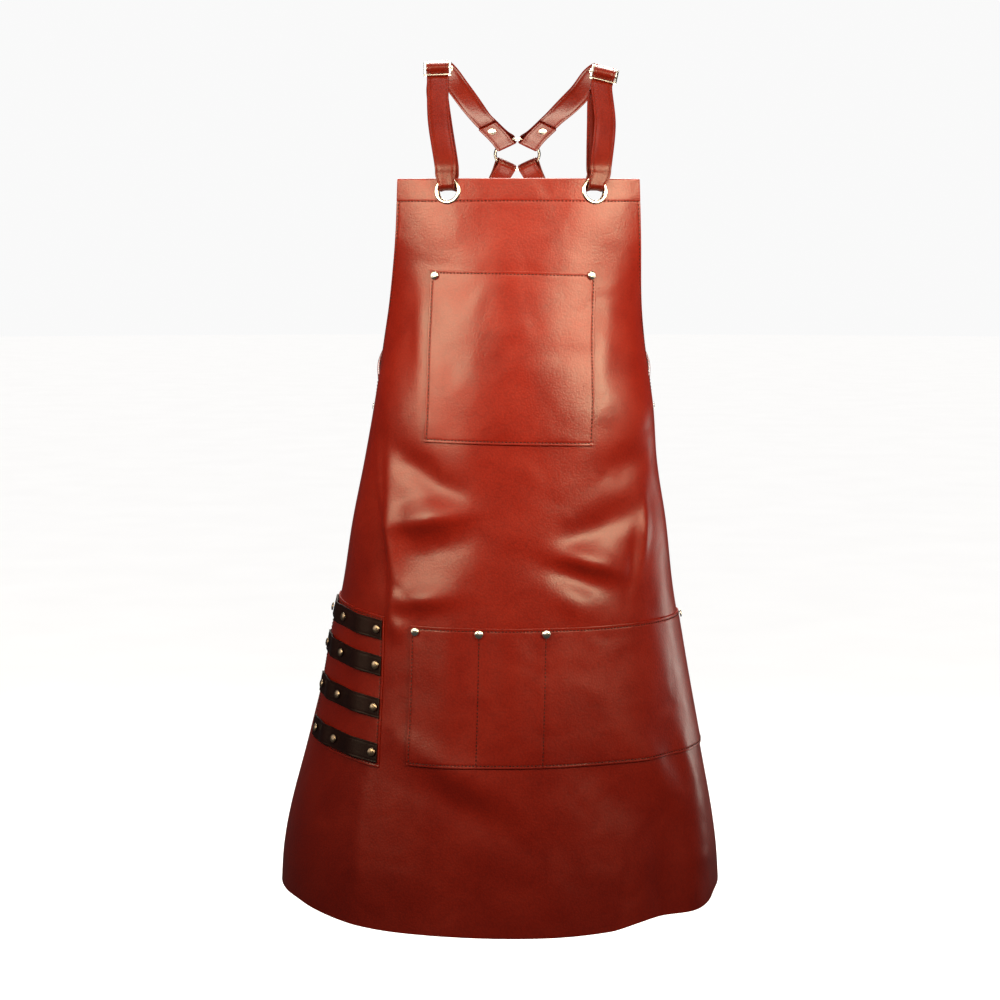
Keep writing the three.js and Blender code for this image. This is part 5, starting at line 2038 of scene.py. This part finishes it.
    def hole_keys(self, shoulder: Shoulder, face: int) -> list[Key]:
        """Lead a strap up from a grommet, on the front for 1 and on the back for -1.

        Args:
            shoulder: The shoulder.
            face: 1 for the front leg and -1 for the back one.

        Returns:
            The strap's keys, upwards.
        """
        side = shoulder.side
        point, normal = self.grommet_seat(side)
        wide = unit(np.array([-normal[1], normal[0], 0]))
        hung = Frame(point, wide, np.cross(normal, wide), normal)
        metal = self.metal
        chord = metal.hole * math.cos(math.pi / self.hole_sides)
        room = math.sqrt(chord**2 - (self.hole_rise + self.thick / 2) ** 2) - metal.fit_gap
        gathered = min(2 * room, self.width)
        off = self.hem_stack / 2 + self.flange_stand + metal.flange_thick
        off += metal.fit_gap + self.thick / 2
        keys = []
        for way in HOLE_WAY:
            up = self.hole_rise + metal.flange * way.rise
            out = face * (off + self.thick * way.off) - self.hem_stack / 2
            aside = side.value * shoulder.sway * way.spread
            keys.append(hung.key(up, out, aside, gathered + (self.width - gathered) * way.spread))
        return keys

    def shoulder_keys(self, shoulder: Shoulder) -> list[Key]:
        """Lead a shoulder strap from its end at the slider to its loop on the ring.

        Args:
            shoulder: The shoulder.

        Returns:
            The strap's keys.
        """
        slider = self.slider_frame(shoulder)
        side = shoulder.side
        inner = [slider.key(-self.slider_tail, -self.behind_bar - self.layer)]
        inner += self.slider_keys(slider, SLIDER_END, self.bar_corner)
        outer = self.slider_keys(slider, SLIDER_RETURN, self.bar_corner + self.layer)
        down = self.hole_keys(shoulder, -1)[::-1]
        up = self.hole_keys(shoulder, 1)
        aside = -side.value * shoulder.shift
        high = slider.key(
            -self.slider_tail - self.metal.bar_wide, -self.behind_bar - self.layer * 2, aside / 2
        )
        down[0] = Key(down[0].point + slider.wide * aside / 3, down[0].wide, self.width)

        def between(low: Key, top: Key, across: float) -> Key:
            """Give the key between two others, moved across.

            Args:
                low: The lower key.
                top: The upper key.
                across: How far across it moves.

            Returns:
                The new key.
            """
            share = self.leg_middle
            point = low.point + (top.point - low.point) * share + slider.wide * across
            return Key(point, low.wide + (top.wide - low.wide) * share, self.width)

        back = between(down[0], high, aside / 3)
        front = between(up[-1], outer[0], side.value * shoulder.bow)
        end = self.ring_end(side, 1, 0)
        over = self.over_keys(shoulder, slider, end)
        return [*inner, high, back, *down, *up, front, *outer, *over, *self.ring_loop(end)]

    def over_keys(self, shoulder: Shoulder, slider: Frame, end: Frame) -> list[Key]:
        """Lead a strap over the shoulder.

        Args:
            shoulder: The shoulder.
            slider: The slider's frame.
            end: The strap's end on the ring.

        Returns:
            The strap's keys.
        """
        side = shoulder.side.value
        turn = math.radians(self.crossing)
        crossing = np.array([math.cos(turn), 0, -side * math.sin(turn)])
        keys = []
        for place in OVER_SHOULDER:
            inward = shoulder.inset * place.inset + place.inward
            point = np.array(
                [slider.origin[0] - side * inward, place.back, shoulder.crest - place.below]
            )
            wide = slider.wide + (crossing - slider.wide) * place.cross
            keys.append(Key(point, wide, self.width))
        keys.append(end.key(self.ring_tail + self.ring_lead, self.layer / 2))
        return keys

    def waist_seat(self, side: Side) -> tuple[np.ndarray, np.ndarray]:
        """Find the waist rivet's place inside the hide's corner.

        Args:
            side: The side.

        Returns:
            The point on the grain side and the normal there.
        """
        edge = float(self.form.edge_arc(self.waist_drop / self.form.length))
        arc = np.array(side.value * (edge - self.waist_inset))
        return self.form.seat(arc, np.array(self.waist_drop))

    def waist_keys(self, side: Side) -> list[Key]:
        """Lead a waist strap from the ring round the torso to its rivet behind the hide.

        Args:
            side: The side.

        Returns:
            The strap's keys.
        """
        form = self.form
        at = self.waist_drop / form.length
        edge = float(form.edge_arc(at))
        inside = -form.hide - self.thick / 2 - self.waist_rest - self.waist_slack
        rise = math.tan(math.radians(self.waist_rise))
        lean = float(form.section(np.array(at))["lean"])
        laid: list[tuple[np.ndarray, np.ndarray]] = []
        for place in WAIST_PATH:
            angle = math.radians(place.round)
            half = self.torso_half * (1 - self.torso_taper * (1 - place.share))
            fall = form.bib_drop + self.waist_drop - self.ring_drop
            x = lean * place.share + side.value * half * math.sin(angle)
            z = -self.ring_drop - fall * place.share
            point = np.array([x, self.torso_back * math.cos(angle), z])
            out = (side.value * math.sin(angle) / half, math.cos(angle) / self.torso_back, 0)
            laid.append((point, unit(np.array(out))))
        for share in self.waist_end:
            along = self.waist_inset * share
            arc = side.value * (edge - self.waist_inset + along)
            point, normal = form.seat(np.array(arc), np.array(self.waist_drop - along * rise))
            laid.append((point + normal * inside, normal))
        keys = []
        for i, (point, out) in enumerate(laid):
            run = laid[min(i + 1, len(laid) - 1)][0] - laid[max(i - 1, 0)][0]
            keys.append(Key(point, unit(np.cross(run, out)), self.width))
        return [*self.ring_loop(self.ring_end(side, -1, self.waist_bend))[::-1], *keys]


@dataclass(frozen=True)
class StrapLine:
    """A strap's middle line at close stations, with its directions and widths."""

    point: np.ndarray
    wide: np.ndarray
    face: np.ndarray
    width: np.ndarray

    @property
    def length(self) -> float:
        """The line's length in millimetres."""
        return float(np.linalg.norm(np.diff(self.point, axis=0), axis=1).sum())


def strap_line(keys: Sequence[Key], pitch: float = 1.5) -> StrapLine:
    """Run a smooth line through a strap's keys.

    Args:
        keys: The keys, in order.
        pitch: The longest spacing of the stations.

    Returns:
        The line.
    """
    points = np.array([key.point for key in keys])
    padded = np.vstack((2 * points[0] - points[1], points, 2 * points[-1] - points[-2]))
    gaps = np.linalg.norm(np.diff(padded, axis=0), axis=1) ** 0.5
    middle, wide, width = [], [], []
    for i in range(len(keys) - 1):
        x0, x1, x2, x3 = padded[i : i + 4]
        d0, d1, d2 = gaps[i : i + 3]
        t1 = ((x1 - x0) / d0 - (x2 - x0) / (d0 + d1) + (x2 - x1) / d1) * d1
        t2 = ((x2 - x1) / d1 - (x3 - x1) / (d1 + d2) + (x3 - x2) / d2) * d1
        count = max(2, math.ceil(float(np.linalg.norm(x2 - x1)) / pitch))
        for j in range(count):
            k = j / count
            middle.append(
                x1 + t1 * k + (3 * (x2 - x1) - 2 * t1 - t2) * k**2 + (2 * (x1 - x2) + t1 + t2) * k**3
            )
            eased = k * k * (3 - 2 * k)
            wide.append(keys[i].wide * (1 - eased) + keys[i + 1].wide * eased)
            width.append(keys[i].width * (1 - eased) + keys[i + 1].width * eased)
    middle.append(points[-1])
    wide.append(keys[-1].wide)
    width.append(keys[-1].width)
    point = np.array(middle)
    run = unit(np.gradient(point, axis=0))
    across = np.array(wide)
    across = unit(across - run * np.sum(across * run, axis=1)[:, None])
    return StrapLine(point, across, np.cross(across, run), np.array(width))


@dataclass
class Strap:
    """A leather strap with rounded edges, creased seam lines and a row of stitches along each."""

    node: str
    line: StrapLine
    full: float = 25
    thick: float = 2.2
    crease: float = 3.0
    crease_depth: float = 0.2
    curl: float = 2.0
    gather: float = 7

    def section(self) -> list[tuple[float, float]]:
        """Give half the outline's points on one face: distance from the edge and height.

        Returns:
            The points, from the left edge to the middle.
        """
        half = self.thick / 2
        crease = self.crease
        return [
            (0.0, half * 0.35),
            (0.18, half * 0.75),
            (0.6, half),
            (crease - 0.9, half + 0.03),
            (crease - 0.35, half - self.crease_depth),
            (crease + 0.35, half - self.crease_depth),
            (crease + 0.9, half + 0.03),
            (crease + 4, half + 0.1),
        ]

    def offset(self, across: float, height: float) -> np.ndarray:
        """Place a point of the section at every station, across as a share of the half width.

        Args:
            across: The share, from -1 to 1.
            height: The height off the strap's middle.

        Returns:
            A point for each station.
        """
        line = self.line
        tight = (self.full - line.width) / self.gather
        bend = self.curl * tight * across**2
        side = (across * line.width / 2)[:, None]
        return line.point + line.wide * side + line.face * (height + bend)[:, None]

    def build(self, finishes: Finishes) -> None:
        """Build the strap and its stitches.

        Args:
            finishes: The materials.
        """
        half = self.full / 2
        upper = [(-1 + edge / half, up) for edge, up in self.section()]
        top = upper + [(-a, up) for a, up in reversed(upper)]
        outline = top + [(a, -up) for a, up in reversed(top)]
        grid = np.stack([self.offset(a, up) for a, up in outline], axis=1)
        count, corners = grid.shape[:2]
        number = np.arange(count * corners).reshape(count, corners)
        after = np.roll(number, -1, axis=1)
        sides = np.stack((number[:-1], after[:-1], after[1:], number[1:]), -1).reshape(-1, 4)
        faces = [*sides.tolist(), number[0][::-1].tolist(), number[-1].tolist()]
        edge_columns = [len(top) - 1, corners - 1]
        round_kinds = [CUT_EDGE if c in edge_columns else GRAIN_SIDE for c in range(corners)]
        kinds = np.tile(round_kinds, count - 1)
        kinds = [*kinds.tolist(), CUT_EDGE, CUT_EDGE]
        name = f"{self.node}_leather"
        piece = mesh_object(name, grid.reshape(-1, 3), faces, kinds)
        materials = (finishes.strap, finishes.flesh, finishes.edge)
        finish_piece(piece, materials, [self.node], 40)
        place = 1 - self.crease / half
        runs = []
        for across in (-place, place):
            for face in (1, -1):
                sunk = self.offset(across, face * (self.thick / 2 - self.crease_depth))
                runs.append(Run(sunk, self.line.face * face))
        stitches = Stitching(pitch=3.4, length=2.3, thread=0.7).build(f"{name}_stitches", runs)
        finish_piece(stitches, (finishes.strap_thread,))
        LOG.info("%s is %.0f mm long", name, self.line.length)


@dataclass
class Apron:
    """The whole apron."""

    finishes: Finishes = field(default_factory=Finishes)
    form: HideForm = FORM
    harness: Harness = field(default_factory=Harness)
    hide: Hide = field(default_factory=Hide)
    rivet: Rivet = field(default_factory=Rivet)
    rivet_inset: float = 6.5
    loop_drops: tuple[float, ...] = (0.025, 0.265, 0.545, 0.84)
    loop_rivets: tuple[float, ...] = (0.12, 0.46, 0.935)
    chest: Patch = Patch("chest_pocket", 102.5, 192, start=-101, width=192.5, dip=4)
    hip: Patch = Patch("hip_pocket", 500, 155, start=-111, width=None, splits=(-31, 43.5))
    panel: Patch = Patch("tool_panel", 479, 168, start=-265, width=120, dip=14, gape=0)

    def sew_hide(self) -> None:
        """Build the hide, with its grommet holes."""
        holes = [self.harness.grommet_seat(side) for side in Side]
        self.hide.build(self.finishes, holes)

    def sew_patches(self) -> None:
        """Build the pockets, the tool panel and its loops."""
        leather = (self.finishes.hide, self.finishes.flesh, self.finishes.pocket_edge)
        for patch in (self.chest, self.hip, self.panel):
            patch.build(leather, self.finishes.thread)
        panel = self.panel
        for number, share in enumerate(self.loop_drops, 1):
            ToolLoop(
                number,
                drop=panel.drop + panel.height * share,
                start=panel.start,
                width=panel.width,
                dip=panel.dip,
                rivets=self.loop_rivets,
            ).build(self.finishes)

    def seat(self, node: str, arc: float, drop: float, layers: float, slot: Slot) -> RivetSeat:
        """Seat a rivet on the layers above the hide."""
        point, normal = self.form.seat(np.array(arc), np.array(drop))
        return RivetSeat(node, point + normal * layers, normal, layers + self.form.hide, slot)

    def leather_seats(self) -> list[RivetSeat]:
        """Seat the rivets of the pockets and the tool loops.

        Returns:
            The seats.
        """
        inset = self.rivet_inset
        chest, hip, panel = self.chest, self.hip, self.panel
        pocket = chest.thick + chest.base
        top = hip.drop + inset
        hip_end = float(hip.span(np.array(top))[1])
        places = {
            "chest_rivet_left": (chest.start + inset, chest.drop + inset),
            "chest_rivet_right": (chest.start + chest.width - inset, chest.drop + inset),
        }
        for number, arc in enumerate((hip.start + inset, *hip.splits, hip_end - inset), 1):
            places[f"hip_rivet_{number}"] = (arc, top)
        seats = [self.seat(node, *place, pocket, Slot.NICKEL) for node, place in places.items()]
        stack = ToolLoop.base + ToolLoop.thick
        for i, share in enumerate(self.loop_drops, 1):
            middle = panel.drop + panel.height * share + ToolLoop.height / 2
            for j, place in enumerate(self.loop_rivets, 1):
                arc = panel.start + panel.width * place
                drop = middle + panel.dip * place
                seats.append(self.seat(f"tool_rivet_{i}_{j}", arc, drop, stack, Slot.BRASS))
        return seats

    def strap_seats(self) -> list[RivetSeat]:
        """Seat the rivets of the straps.

        Returns:
            The seats.
        """
        harness = self.harness
        stack = harness.layer + harness.thick
        seats = []
        for side in Side:
            for word, upward, bend in (("upper", 1, 0), ("lower", -1, harness.waist_bend)):
                end = harness.ring_end(side, upward, bend)
                point = end.at(0, harness.ring_rivet, stack / 2)
                node = f"ring_rivet_{word}_{side.label}"
                seats.append(RivetSeat(node, point, end.out, stack, Slot.NICKEL, 1.15))
            point, normal = harness.waist_seat(side)
            corner = self.form.hide + harness.waist_rest + harness.waist_slack + harness.thick
            node = f"waist_rivet_{side.label}"
            seats.append(RivetSeat(node, point, normal, corner, Slot.NICKEL, 0.9, 0.4))
        return seats

    def lead_straps(self) -> None:
        """Build the four straps."""
        for shoulder in SHOULDERS:
            label = shoulder.side.label
            line = strap_line(self.harness.shoulder_keys(shoulder))
            node = f"shoulder_strap_{label}"
            Strap(node, line).build(self.finishes)
        for side in Side:
            line = strap_line(self.harness.waist_keys(side))
            node = f"waist_strap_{side.label}"
            Strap(node, line).build(self.finishes)

    def fit_metal(self) -> None:
        """Build the grommets, the sliders and the back ring."""
        harness = self.harness
        metal = harness.metal
        nickel = (self.finishes.nickel,)
        for shoulder in SHOULDERS:
            label = shoulder.side.label
            point, normal = harness.grommet_seat(shoulder.side)
            grommet = metal.grommet(f"grommet_{label}_metal", point, normal, harness.hem_stack)
            finish_piece(grommet, nickel, [f"grommet_{label}"], 50)
            basis = harness.slider_frame(shoulder).matrix()
            slider = metal.slider(f"slider_{label}_metal", basis, shoulder.side)
            finish_piece(slider, nickel, [f"slider_{label}"], 40)
        ring = metal.ring("back_ring_metal", harness.ring_frame().matrix())
        finish_piece(ring, nickel, ["back_ring"], 60)

    def set_rivets(self) -> None:
        """Build every rivet."""
        place_rivets(self.rivet, [*self.leather_seats(), *self.strap_seats()], self.finishes)


PLATED = ("_metal", "_cap")
STRAPS = ("_leather", "_stitches", *PLATED)


@dataclass(frozen=True)
class SoftLight:
    """A rectangular soft light: its place, its size, its power and what it points at.

    Where only names endings, it lights just the pieces whose names end so, as a photographer's
    white card held close to them does.
    """

    name: str
    place: tuple[float, float, float]
    size: tuple[float, float]
    power: float
    aim: tuple[float, float, float]
    spread: float
    colour: str
    only: tuple[str, ...] = ()

    def build(self) -> None:
        """Build the light."""
        data = bpy.data.lights.new(self.name, "AREA")
        data.shape = "RECTANGLE"
        data.size, data.size_y = self.size
        data.energy = self.power
        data.spread = math.radians(self.spread)
        data.color = srgb(self.colour)[:3]
        lamp = bpy.data.objects.new(self.name, data)
        lamp.location = self.place
        lamp.visible_camera = False
        aim = Vector(self.aim) - Vector(self.place)
        lamp.rotation_euler = aim.to_track_quat("-Z", "Y").to_euler()
        if self.only:
            lit = bpy.data.collections.new(f"lit_by_{self.name}")
            for piece in bpy.context.scene.objects:
                if piece.type == "MESH" and piece.name.endswith(self.only):
                    lit.objects.link(piece)
            lamp.light_linking.receiver_collection = lit
        bpy.context.scene.collection.objects.link(lamp)


@dataclass
class Studio:
    """Pale floor, soft lights and the camera at the photograph's angle."""

    floor_drop: float = 1.42
    floor_radius: float = 30
    camera_place: tuple[float, float, float] = (-0.021, -2.5, -0.217)
    camera_pitch: float = 6.6
    lens: float = 76.2
    floor_power: float = 3.2
    room: float = 0.045
    backdrop: float = 0.95
    lights: tuple[SoftLight, ...] = (
        SoftLight("key_left", (-1.06, -1.15, 0.42), (0.9, 1.05), 5.4, (0, -0.1, -0.02), 60, "#ffeec4"),
        SoftLight("key_right", (1.06, -1.15, 0.42), (0.9, 1.05), 6.9, (0, -0.1, -0.02), 60, "#ffeec4"),
        SoftLight("front", (0.1, -2.1, 1.25), (1.1, 0.6), 2.0, (0, -0.1, -0.1), 60, "#ffeec4"),
        SoftLight("rim", (1.5, 0.75, -0.75), (0.2, 0.4), 0.22, (0.22, -0.03, -0.72), 50, "#fff8ea"),
        SoftLight("top", (0, 0.06, 1.3), (0.9, 0.5), 3.0, (0, 0, 0), 110, "#fff8ea"),
        SoftLight("back", (0.2, 1.9, 2.0), (1.8, 1.2), 75, (0, 0, -0.4), 120, "#fffaf0"),
        SoftLight(
            "bounce", (0, 0.02, -0.42), (0.34, 0.2), 1.1, (0, 0.08, -0.06), 100, "#fff4da", STRAPS
        ),
        SoftLight("metal_left", (-1.9, -0.3, 0.1), (1.4, 1.6), 5, (0, 0, -0.3), 120, "#fff8ea", PLATED),
        SoftLight("metal_right", (1.9, -0.3, 0.1), (1.4, 1.6), 5, (0, 0, -0.3), 120, "#fff8ea", PLATED),
        SoftLight("metal_front", (0, -2.7, 0.5), (1.8, 1.2), 7, (0, 0, -0.3), 120, "#fff8ea", PLATED),
    )

    def build(self) -> None:
        """Build the floor, the world, the lights and the camera."""
        self.floor()
        self.world()
        for light in self.lights:
            light.build()
        data = bpy.data.cameras.new("camera")
        data.lens = self.lens
        data.sensor_width = 36
        data.clip_end = 100
        camera = bpy.data.objects.new("camera", data)
        camera.location = self.camera_place
        camera.rotation_euler = (math.radians(90 - self.camera_pitch), 0, 0)
        bpy.context.scene.collection.objects.link(camera)
        bpy.context.scene.camera = camera

    def floor(self) -> None:
        """Lay the pale floor under the apron's wearer."""
        deselect()
        bpy.ops.mesh.primitive_circle_add(
            vertices=96, radius=self.floor_radius, fill_type="NGON", location=(0, 0, -self.floor_drop)
        )
        floor = bpy.context.object
        floor.name = "studio_floor"
        material, tree, shader, place = new_material("pale_floor")
        mottle = add_node(tree, "ShaderNodeTexNoise", {"Scale": 3.0}, {"Vector": place})
        colour = add_ramp(tree, mottle.outputs["Fac"], ((0.3, "#f5f4f3"), (0.7, "#f7f6f5")))
        tree.links.new(colour, shader.inputs["Base Color"])
        shader.inputs["Roughness"].default_value = 0.9
        shader.inputs["Specular IOR Level"].default_value = 0.0
        floor.data.materials.append(material)
        floor.visible_diffuse = False
        floor.visible_glossy = False
        self.floor_light(floor)

    def floor_light(self, floor: bpy.types.Object) -> None:
        """Light the floor evenly from above, and nothing else.

        Args:
            floor: The floor.
        """
        lit = bpy.data.collections.new("lit_floor")
        lit.objects.link(floor)
        data = bpy.data.lights.new("floor_light", "SUN")
        data.energy = self.floor_power
        data.angle = math.radians(50)
        lamp = bpy.data.objects.new("floor_light", data)
        lamp.location = (0, 0, 3)
        lamp.light_linking.receiver_collection = lit
        bpy.context.scene.collection.objects.link(lamp)

    def world(self) -> None:
        """Light the room evenly from a pale surrounding."""
        world = bpy.data.worlds.new("studio")
        world.use_nodes = True
        tree = world.node_tree
        ray = add_node(tree, "ShaderNodeLightPath").outputs["Is Camera Ray"]
        light = add_node(
            tree,
            "ShaderNodeMapRange",
            {"To Min": self.room, "To Max": self.backdrop},
            {"Value": ray},
        )
        tree.links.new(light.outputs["Result"], tree.nodes["Background"].inputs["Color"])
        bpy.context.scene.world = world
        bpy.context.scene.view_settings.view_transform = "Standard"


def main() -> None:
    """Build the apron's parts and its studio in order, and report each piece."""
    logging.basicConfig(level=logging.INFO, format="%(message)s")
    known = {piece.name for piece in bpy.data.objects}
    apron = Apron()
    steps = (apron.sew_hide, apron.sew_patches, apron.lead_straps, apron.fit_metal, apron.set_rivets)
    for step in (*steps, Studio().build):
        step()
        made = [p for p in bpy.data.objects if p.type == "MESH" and p.name not in known]
        for piece in made:
            LOG.info("%s: %d faces", piece.name, len(piece.data.polygons))
        known.update(piece.name for piece in made)


if __name__ == "__main__":
    main()
